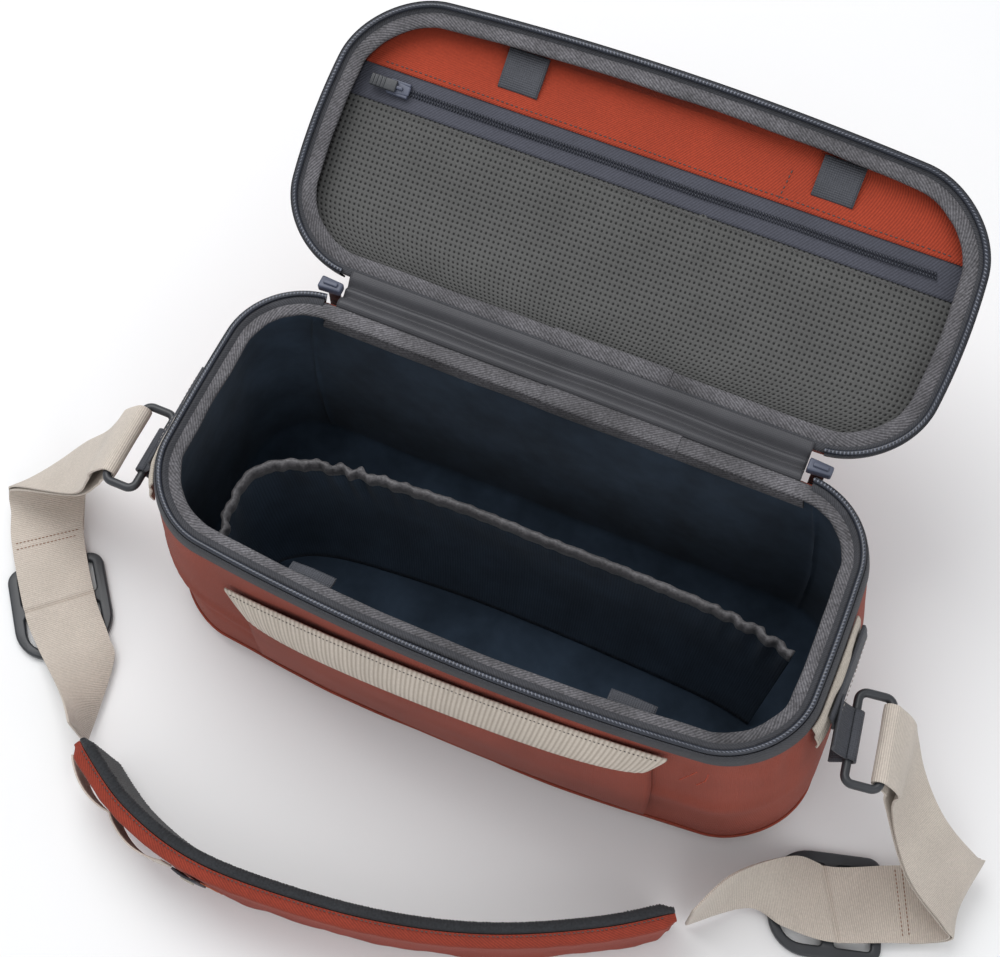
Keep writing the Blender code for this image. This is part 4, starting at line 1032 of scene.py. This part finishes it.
def make_lid_face(mats):
    """Red twill strip, pocket zip and perforated mesh pocket on the lid's inner face."""
    red_edge, zip_edge = -36.0, -19.0

    def sag(x, y):
        return LID_FLOOR + ripple(x, y, 0, 45.0, 0.8)

    front = -RIM_WIDTH / 2 - LID_FRONT_BOW + CAVITY_IN + 0.5
    rows = clip_rows(front, red_edge, CAVITY_IN + 0.4, 22, 160, lambda x, y: sag(x, y) - 0.4)
    strip = skin("lid_trim_twill", rows, mats["twill"], thick=0.8, lid=True)
    place(strip, "lid", "red_twill", "lid_trim_panel")

    rows = clip_rows(red_edge - 0.8, zip_edge + 0.6, CAVITY_IN + 0.4, 12, 160, lambda x, y: sag(x, y) + 0.3)
    tape = skin("pocket_tape_cloth", rows, mats["tape"], thick=0.8, lid=True)
    place(tape, "lid", "zip_tape", "pocket_zip_tape")

    back = RIM_WIDTH / 2 - CAVITY_IN - 0.4

    def hollow(x, y):
        """The mesh sags away from the rim in its middle, with a short vertical pleat."""
        pleat = 1.4 * bump_at(x - 0.25 * (y + 20), 31.0, 2.2) * bump_at(y, 2.0, 22.0)
        return sag(x, y) + 0.6 - pleat + 1.6 * math.sin(math.pi * (y - zip_edge) / (back - zip_edge))

    rows = clip_rows(zip_edge, back, CAVITY_IN + 0.4, 60, 200, hollow)
    mesh_piece = skin("mesh_pocket_cloth", rows, mats["mesh"], thick=0.6, lid=True)
    place(mesh_piece, "lid", "pocket_mesh", "mesh_pocket")

    zip_y = (red_edge + zip_edge) / 2
    line = []
    for x in np.linspace(-140.0, 144.0, 160):
        line.append(Vector((x, zip_y + ripple(x, 0, 0, 50.0, 0.4), LID_RIM + LID_FLOOR - 0.8)))
    fine = resample(line, 190)
    spots = []
    for sign in (-1, 1):
        for p, t in zip(fine, directions(fine)):
            side = Vector((-t.y, t.x, 0)) * sign
            spots.append((p + side * 0.95 + t * (0.35 * sign), t, side, Vector((0, 0, -1))))
    teeth = beads("pocket_teeth", spots, (0.55, 1.0, 0.7), mats["coil"], lid=True)
    place(teeth, "lid", "zip_coil", "pocket_zip_coil")
    seams = {"trim_stitching": [], "mesh_stitching": [], "trim_join_stitching": []}
    for x in np.linspace(-146, 148, 150):
        for name, y in (("trim_stitching", red_edge - 2.6), ("mesh_stitching", zip_edge + 2.4)):
            seams[name].append(Vector((x, y + ripple(x, 0, 3, 50.0, 0.4), LID_RIM + sag(x, y) - 1.0)))
    for v in np.linspace(0, 1, 10):
        spot = Vector((62.0 + 1.5 * v, -37.5 - 17.0 * v, LID_RIM + sag(62, -45) - 1.1))
        seams["trim_join_stitching"].append(spot)
    for name, seam in seams.items():
        sewn = stitches(name, seam, Vector((0, 0, -1)), mats["dark_thread"], 2.6, 1.8, 0.3, lid=True)
        place(sewn, "lid", "red_twill")


def make_pocket_slider(mats):
    low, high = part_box("pocket_zip_slider")
    c = (LID_TURN.inverted() @ ((low + high) / 2)) / MM
    lacquer = mats["slider"]
    parts = [block("roof", (12.0, 7.2, 1.6), c + Vector((0, 0, -0.9)), lacquer, 0.7, taper=0.35, lid=True)]
    for sign in (-1, 1):
        spot = c + Vector((0, sign * 3.1, 0.2))
        parts.append(block("cheek", (11.0, 1.5, 3.2), spot, lacquer, 0.5, lid=True))
    parts.append(block("loop", (5.0, 1.8, 1.6), c + Vector((0, 0, -2.2)), lacquer, 0.6, lid=True))
    place(join("pocket_slider_body", parts), "pocket_zip_slider", "slider_metal", "pocket_zip_slider")
    low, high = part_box("pocket_zip_pull")
    c = (LID_TURN.inverted() @ ((low + high) / 2)) / MM
    long = (high - low).x / MM
    parts = [block("blade", (long, 6.0, 1.6), c, mats["hard"], 0.6, lid=True)]
    for j in range(4):
        spot = c + Vector((-long / 2 + 1.6 + 2.0 * j, 0, -0.3))
        parts.append(block("rib", (0.9, 5.4, 1.8), spot, mats["hard"], 0.3, lid=True))
    place(join("pocket_pull_body", parts), "pocket_zip_pull", "dark_plastic", "pocket_zip_pull")


def make_lid_tabs(mats):
    for side in ("left", "right"):
        low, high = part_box(f"lid_tab_{side}")
        centre = (LID_TURN.inverted() @ ((low + high) / 2)) / MM
        turn = Matrix.Rotation(math.radians(10.0), 3, "X")
        tab_strip(f"lid_tab_{side}", centre, (21.0, 21.0, 1.6), turn, mats, lid=True)


# ---------------------------------------------------------------- strap
LEFT_EDGES = [
    ((-169, -154, 44), (-169, -154, 6)),
    ((-188, -139, 24), (-178, -110, 5)),
    ((-219, -118, 7.5), (-187, -98, 7.5)),
    ((-236, -103, 7), (-206, -80, 7)),
    ((-262, -72, 7), (-230, -50, 7)),
    ((-271, -57, 8), (-242, -26, 9)),
    ((-274, -50, 16), (-247, -13, 20)),
    ((-266, -49, 27), (-240, -13, 35)),
    ((-224, -48, 53), (-221, -12, 61)),
    ((-203, -48, 83), (-203, -10, 86)),
    ((-198, -48, 93), (-198, -10, 94)),
    ((-190, -47, 101.4), (-190, -9, 101.4)),
]
RIGHT_EDGES = [
    ((146, -117, 44), (146, -117, 6)),
    ((158, -92, 38), (171, -97, 6)),
    ((183, -66, 13), (190, -99, 7)),
    ((203, -62, 7), (213, -97, 7)),
    ((229, -50, 7), (240, -86, 7)),
    ((252, -40, 8), (256, -79, 7)),
    ((267, -32, 16), (265, -74, 13)),
    ((261, -35, 28), (258, -73, 24)),
    ((236, -31, 57), (232, -63, 46)),
    ((208, -12, 84), (210, -44, 74)),
    ((202, -9, 93), (206, -45, 92)),
    ((193.3, -9, 101.4), (198.6, -46, 101.4)),
]
BAR_WRAP = 3.6
LAYER_PITCH = 2.3
WEBBING_THICK = 1.5
SEWN = {"left": (-246, -61, 7), "right": (242, -65, 7)}


def make_webbing(side, edges, lock, mats):
    """Webbing from the pad over the ladder lock, round the ring's bar and back to its sewn end."""
    count = 400
    lock = Vector(lock)
    a = spline([e[0] for e in edges], count)
    b = spline([e[1] for e in edges], count)
    middle = [(p + q) / 2 for p, q in zip(a, b)]
    ahead = directions(middle)
    normals = [t.cross(q - p).normalized() for t, p, q in zip(ahead, a, b)]
    last = count - 1
    stations = list(zip(a, b, normals))
    for k in range(1, 12):
        turn = math.pi * k / 12
        shift = normals[last] * (BAR_WRAP * (1 - math.cos(turn))) + ahead[last] * (BAR_WRAP * math.sin(turn))
        facing = normals[last] * math.cos(turn) - ahead[last] * math.sin(turn)
        stations.append((a[last] + shift, b[last] + shift, facing))
    stop = min(range(count), key=lambda k: (middle[k] - Vector(SEWN[side])).length)
    for k in range(last, stop, -1):
        share = min(1.0, (last - k) / (count * 0.2))
        apart = 2 * BAR_WRAP + (LAYER_PITCH - 2 * BAR_WRAP) * ease(share)
        stations.append((a[k] + normals[k] * apart, b[k] + normals[k] * apart, -normals[k]))
    across = np.linspace(0, 1, 13)
    outer, inner = [], []
    for i, (p, q, n) in enumerate(stations):
        top, under = [], []
        pinch = 0.0
        if i < count and (middle[i] - lock).length < 20.0:
            pinch = 1.5 * bump_at((middle[i] - lock).dot(ahead[i]), 0.0, 1.1)
        for s in across:
            cup = pinch + 0.5 * math.sin(math.pi * s) * noise.noise(Vector((i / 30.0, 0, 5)))
            edge = 0.25 * (bump_at(s, 0.0, 0.05) + bump_at(s, 1.0, 0.05))
            point = p.lerp(q, float(s)) + n * cup
            top.append(point - n * (WEBBING_THICK / 2 - edge))
            under.append(point + n * (WEBBING_THICK / 2 - edge))
        outer.append(top)
        inner.append(under)
    rows = [list(o) + list(reversed(i)) for o, i in zip(outer, inner)]
    columns = [list(c) for c in zip(*rows)]
    piece = skin(f"webbing_{side}_cloth", columns, mats["webbing"], wrap_rows=True, sharp=60.0)
    close_ends(piece)
    place(piece, "strap", "cream_webbing", f"webbing_{side}")
    rows = []
    for back in (-5, 0):
        p, q, n = stations[stop + back]
        line = [p.lerp(q, float(s)) - n * 0.9 for s in np.linspace(0.06, 0.94, 14)]
        rows.append(stitches("bar", line, -n, mats["brown_thread"], 2.0, 1.5, 0.3))
    place(join(f"webbing_stitching_{side}", rows), "strap", "cream_webbing")


def close_ends(piece):
    """Caps the two open ends of a webbing tube."""
    bm = bmesh.new()
    bm.from_mesh(piece.data)
    bmesh.ops.holes_fill(bm, edges=[e for e in bm.edges if e.is_boundary], sides=0)
    bm.to_mesh(piece.data)
    bm.free()


def make_ring(side, x, yaw_deg, mats):
    half_y, half_x, r, wire = 22.0, 8.0, 4.0, 2.1
    turn = Matrix.Rotation(math.radians(yaw_deg), 3, "Z")
    centre = Vector((x, STRAP_AXIS_Y, STRAP_AXIS_Z))
    line = []
    for side_x, side_y, start in ((1, 1, 0), (-1, 1, 90), (-1, -1, 180), (1, -1, 270)):
        for k in range(9):
            a = math.radians(start + 90 * k / 8)
            spot = (side_x * (half_x - r) + r * math.cos(a), side_y * (half_y - r) + r * math.sin(a), 0)
            line.append(turn @ Vector(spot) + centre)
    count = len(line)
    rows = []
    for k, p in enumerate(line):
        t = (line[(k + 1) % count] - line[k - 1]).normalized()
        u = t.cross(Vector((0, 0, 1))).normalized()
        rows.append([p + u * wire * math.cos(a) + Vector((0, 0, wire * math.sin(a)))
                     for a in np.radians(np.arange(0, 360, 22.5))])
    piece = skin(f"strap_ring_{side}_wire", rows, mats["hard"], wrap_rows=True, wrap_cols=True)
    place(piece, "strap", "dark_plastic", f"strap_ring_{side}")


def rounded(x0, x1, y0, y1, r_low, r_high, steps=10):
    pts = []
    spots = [(x1 - r_high, y1 - r_high, 0, r_high), (x0 + r_low, y1 - r_low, 90, r_low)]
    spots += [(x0 + r_low, y0 + r_low, 180, r_low), (x1 - r_high, y0 + r_high, 270, r_high)]
    for cx, cy, start, r in spots:
        for k in range(steps):
            a = math.radians(start + 90 * k / (steps - 1))
            pts.append((cx + r * math.cos(a), cy + r * math.sin(a)))
    return pts


def make_adjuster(side, centre, along_deg, mats):
    """Moulded ladder lock with rounded edges and a centre bar."""
    outer = rounded(-26.0, 30.0, -26.0, 26.0, 8.0, 20.0)
    hole_a = rounded(-21.0, -3.0, -20.0, 20.0, 2.0, 2.0, 5)
    hole_b = rounded(3.0, 24.5, -20.0, 20.0, 2.0, 12.0, 8)
    turn = Matrix.Rotation(math.radians(along_deg), 3, "Z")
    bm = bmesh.new()
    rings = [[bm.verts.new(turn @ Vector((x, y, 0)) + Vector((*centre, 0.5))) for x, y in ring]
             for ring in (outer, hole_a, hole_b)]
    edges = []
    for ring in rings:
        edges += [bm.edges.new((ring[k], ring[(k + 1) % len(ring)])) for k in range(len(ring))]
    bmesh.ops.triangle_fill(bm, use_beauty=True, use_dissolve=False, edges=edges)
    bmesh.ops.dissolve_limit(bm, angle_limit=0.01, verts=bm.verts, edges=bm.edges)
    made = bmesh.ops.extrude_face_region(bm, geom=list(bm.faces))
    verts = [v for v in made["geom"] if isinstance(v, bmesh.types.BMVert)]
    bmesh.ops.translate(bm, vec=Vector((0, 0, 4.0)), verts=verts)
    bmesh.ops.recalc_face_normals(bm, faces=bm.faces)
    rim = [e for e in bm.edges if len(e.link_faces) == 2 and e.calc_face_angle() > 1.2]
    bmesh.ops.bevel(bm, geom=rim, offset=1.2, segments=4, profile=0.5, affect="EDGES")
    bmesh.ops.scale(bm, vec=Vector((MM, MM, MM)), verts=bm.verts)
    mesh = bpy.data.meshes.new("adjuster")
    bm.to_mesh(mesh)
    bm.free()
    piece = finish(f"adjuster_{side}_frame", mesh, mats["hard"], sharp=40.0)
    place(piece, "strap", "dark_plastic", f"adjuster_{side}")


PAD_LINE = [(-159, -161), (-123, -181), (-79, -191), (-25, -188), (23, -179.5), (67, -165), (110, -143),
            (139, -123)]
PAD_THICK = 12.0
PAD_HEIGHT = 50.0
PAD_FOAM_SHARE = 0.45
PAD_LEAN_ENDS = 4.0
PAD_LEAN_MIDDLE = 5.0


def pad_frames(count):
    """Origin on the floor, direction towards the bag and direction up the leaning pad, along its length."""
    line = spline([(x, y, 0) for x, y in PAD_LINE], count)
    frames = []
    for k, along in enumerate(directions(line)):
        inward = Vector((-along.y, along.x, 0))
        lean = PAD_LEAN_ENDS + (PAD_LEAN_MIDDLE - PAD_LEAN_ENDS) * math.sin(math.pi * k / (count - 1))
        tilt = math.asin(lean / PAD_HEIGHT)
        up = Vector((0, 0, math.cos(tilt))) - inward * math.sin(tilt)
        out = inward * math.cos(tilt) + Vector((0, 0, math.sin(tilt)))
        frames.append((line[k] + inward * lean + Vector((0, 0, PAD_THICK / 2 * math.sin(tilt))), out, up))
    return frames


def make_pad(mats):
    """Bumpy spacer mesh towards the bag, rust twill cover outside, elastic loop, keeper and stud on it."""
    count = 640
    frames = pad_frames(count)
    half = PAD_THICK / 2
    split = half - PAD_THICK * PAD_FOAM_SHARE

    def side_ring(points, k, bumps, waves):
        ring = []
        o, u, w = frames[k]
        taper = ease(k / 14.0) * ease((count - 1 - k) / 14.0)
        for j, (a, b) in enumerate(points):
            mid = PAD_HEIGHT / 2
            b = mid + (b - mid) * (0.88 + 0.12 * taper)
            a = split + (a - split) * (0.55 + 0.45 * taper)
            push = 0.0
            if bumps and a > split + 1.0:
                push = 0.5 * max(0.0, math.sin(k + (j % 2) * math.pi)) - 0.2
                push += 0.3 * noise.noise(Vector((k / 3.0, j, 2)))
            if waves and a < split - 1.0:
                low = ease((28.0 - b) / 24.0)
                push = low * (1.0 + 1.5 * noise.noise(Vector((k / 40.0, b / 18.0, 3))))
                push += 0.3 * noise.noise(Vector((k / 14.0, b / 9.0, 1)))
            top = push * ease((b - PAD_HEIGHT + 5.0) / 3.0) if bumps else 0.0
            ring.append(o + u * (a + push * (1 if a > split else -1)) + w * (b + top))
        return ring

    arc = np.radians(np.linspace(90, -90, 13))
    foam = [(split + 0.2, PAD_HEIGHT - 1.6), (split + 0.9, PAD_HEIGHT - 0.5), (split + 1.8, PAD_HEIGHT - 0.2)]
    foam += [(half - 3.0 + 3.0 * math.cos(t), PAD_HEIGHT - 3.2 + 3.0 * math.sin(t)) for t in arc[:7]]
    foam += [(half, b) for b in np.linspace(PAD_HEIGHT - 5.0, 5.0, 26)]
    foam += [(half - 3.0 + 3.0 * math.cos(t), 3.4 + 3.0 * math.sin(t)) for t in arc[6:]]
    foam.append((split + 0.2, 1.4))
    rows = [side_ring(foam, k, True, False) for k in range(count)]
    foam_piece = skin("pad_spacer_mesh", rows, mats["airmesh"], wrap_cols=True, caps=True, sharp=80.0)
    place(foam_piece, "strap", "spacer_mesh", "pad_foam")
    cover = [(split - 0.2, 1.2)]
    cover += [(-half + 2.0 - 2.0 * math.cos(t), 3.0 - 2.4 * math.sin(t)) for t in arc[:7]]
    cover += [(-half, b) for b in np.linspace(5.0, PAD_HEIGHT - 5.0, 20)]
    cover += [(-half + 2.0 - 2.0 * math.cos(t), PAD_HEIGHT - 3.6 + 2.0 * math.sin(-t)) for t in arc[6:]]
    cover.append((split - 0.2, PAD_HEIGHT - 1.6))
    rows = [side_ring(cover, k, False, True) for k in range(count)]
    cover_piece = skin("pad_cover_twill", rows, mats["pad_twill"], wrap_cols=True, caps=True, sharp=80.0)
    place(cover_piece, "strap", "shell_fabric", "pad_cover")

    line = [o + u * (split - 1.2) + w * (PAD_HEIGHT - 0.9) for o, u, w in frames[12:-12]]
    sewn = stitches("pad_edge_stitching", line, Vector((0, 0, 1)), mats["dark_thread"], 2.2, 1.5, 0.3)
    place(sewn, "strap", "shell_fabric")

    last = int(count * 0.22)
    rows = []
    for k in range(last + 1):
        o, u, w = frames[k]
        share = k / last
        off = -half - 1.2 - 4.0 * abs(math.sin(2 * math.pi * share)) ** 0.8
        rows.append([o + u * off + w * b for b in np.linspace(16.0, 36.0, 12)])
    elastic = skin("pad_elastic_loop", rows, mats["webbing"], thick=0.9)
    place(elastic, "strap", "cream_webbing", "pad_elastic")
    low, high = int(count * 0.24), int(count * 0.28)
    rows = []
    for k in range(low, high + 1):
        o, u, w = frames[k]
        swell = 0.6 * math.sin(math.pi * (k - low) / (high - low))
        rows.append([o + u * (-half - 1.3 - swell) + w * b for b in np.linspace(14.0, 38.0, 12)])
    place(skin("pad_keeper_cloth", rows, mats["tab"], thick=1.2), "strap", "dark_webbing", "pad_keeper")
    middle = (low + high) // 2
    o, u, w = frames[middle]
    t = w.cross(u).normalized()
    turn = Matrix((t, u, w)).transposed()
    spot = o + u * (-half - 2.8) + w * 26.0
    stud = block("pad_stud_square", (5.6, 1.2, 10.0), spot, mats["band"], 0.4, turn=turn)
    place(stud, "strap", "cream_webbing", "pad_stud")
    rows = []
    for k in (high + 8, high + 13):
        o, u, w = frames[k]
        line = [o + u * (-half - 0.9) + w * b for b in np.linspace(4, PAD_HEIGHT - 3, 16)]
        rows.append(stitches("bar", line, -u, mats["orange_thread"], 2.4, 1.7, 0.3))
    place(join("pad_seam_stitching", rows), "strap", "shell_fabric")


def make_anchor_tabs(mats):
    """Webbing loops from the bag's ends round the rings' inner bars."""
    round_bar = 3.4
    ends = (("left", -1, 176.5, 0.0, 169.8), ("right", 1, 182.6, 8.0, 173.6))
    for side, sign, bar, yaw, face in ends:
        turn = Matrix.Rotation(math.radians(yaw), 3, "Z")
        centre = Vector((sign * bar, STRAP_AXIS_Y - 8.0 * math.sin(math.radians(yaw)), STRAP_AXIS_Z))
        wall = face - bar
        path = [(wall, 17.0), (wall + 0.6, 10.0)]
        path += [(round_bar * math.cos(a), round_bar * math.sin(a))
                 for a in np.radians(np.arange(120, -121, -20))]
        path.append((wall + 1.9, -8.0))
        line = spline([(sign * u, 0, v) for u, v in path], 60)
        rows = []
        for p in line:
            rows.append([turn @ Vector((p.x, y, p.z)) + centre for y in np.linspace(-12, 12, 12)])
        piece = skin(f"anchor_tab_{side}_cloth", rows, mats["tab"], thick=1.2)
        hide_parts(f"anchor_tab_{side}")
        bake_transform(piece)


# ---------------------------------------------------------------- stage
def make_stage():
    floor_mat, tree, shader = new_material("studio_floor", (0.86, 0.86, 0.86), 0.9)
    mesh = bpy.data.meshes.new("studio_floor")
    mesh.from_pydata([(-6, -6, 0), (6, -6, 0), (6, 6, 0), (-6, 6, 0)], [], [(0, 1, 2, 3)])
    mesh.materials.append(floor_mat)
    floor = bpy.data.objects.new("studio_floor", mesh)
    bpy.context.scene.collection.objects.link(floor)
    world = bpy.data.worlds.new("studio")
    world.use_nodes = True
    world.node_tree.nodes["Background"].inputs[0].default_value = (0.95, 0.97, 1.0, 1)
    world.node_tree.nodes["Background"].inputs[1].default_value = 0.68
    bpy.context.scene.world = world
    lights = (("key", (-0.5, 0.35, 1.3), 1.0, 12.0), ("fill", (0.9, -0.9, 1.1), 1.2, 5.0))
    for name, spot, size, power in lights:
        light = bpy.data.lights.new(name, "AREA")
        light.size = size
        light.energy = power
        lamp = bpy.data.objects.new(name, light)
        bpy.context.scene.collection.objects.link(lamp)
        lamp.location = spot
        lamp.rotation_mode = "QUATERNION"
        lamp.rotation_quaternion = Vector(spot).to_track_quat("Z", "Y")


def make_camera():
    camera_data = bpy.data.cameras.new("camera")
    camera_data.lens = 57.6
    camera_data.sensor_width = 36.0
    camera = bpy.data.objects.new("camera", camera_data)
    bpy.context.scene.collection.objects.link(camera)
    camera.location = (0.1194, -0.2844, 0.8074)
    camera.rotation_mode = "QUATERNION"
    camera.rotation_quaternion = Vector((-0.1721, 0.3982, -0.9010)).to_track_quat("-Z", "Y")
    bpy.context.scene.camera = camera
    bpy.context.scene.view_settings.view_transform = "Standard"


def repaint(mats):
    """Hidden inner nodes keep their CAD shape."""
    for name in ("rear_foam", "left_foam", "front_foam", "right_foam", "base_foam", "lid_foam", "base_board"):
        mesh = frame["nodes"][name].data
        mesh.materials.clear()
        mesh.materials.append(mats["board" if name == "base_board" else "foam"])


make_camera()
materials = make_materials()
make_stage()
make_shell(materials)
make_rim(materials)
make_lining(materials)
make_front_pocket(materials)
make_stretch_pocket(materials)
make_inner_tabs(materials)
make_side_fittings(materials)
make_hinge(materials)
make_main_sliders(materials)
make_lid_shell(materials)
make_lid_rim(materials)
make_lid_lining(materials)
make_lid_face(materials)
make_pocket_slider(materials)
make_lid_tabs(materials)
make_webbing("left", LEFT_EDGES, (-221.0, -91.5, 7.0), materials)
make_webbing("right", RIGHT_EDGES, (208.0, -79.5, 7.0), materials)
make_ring("left", -184.5, 0.0, materials)
make_ring("right", 190.5, 8.0, materials)
make_adjuster("left", (-221.0, -91.5), -51.3, materials)
make_adjuster("right", (208.0, -79.5), 195.9, materials)
make_pad(materials)
make_anchor_tabs(materials)
repaint(materials)
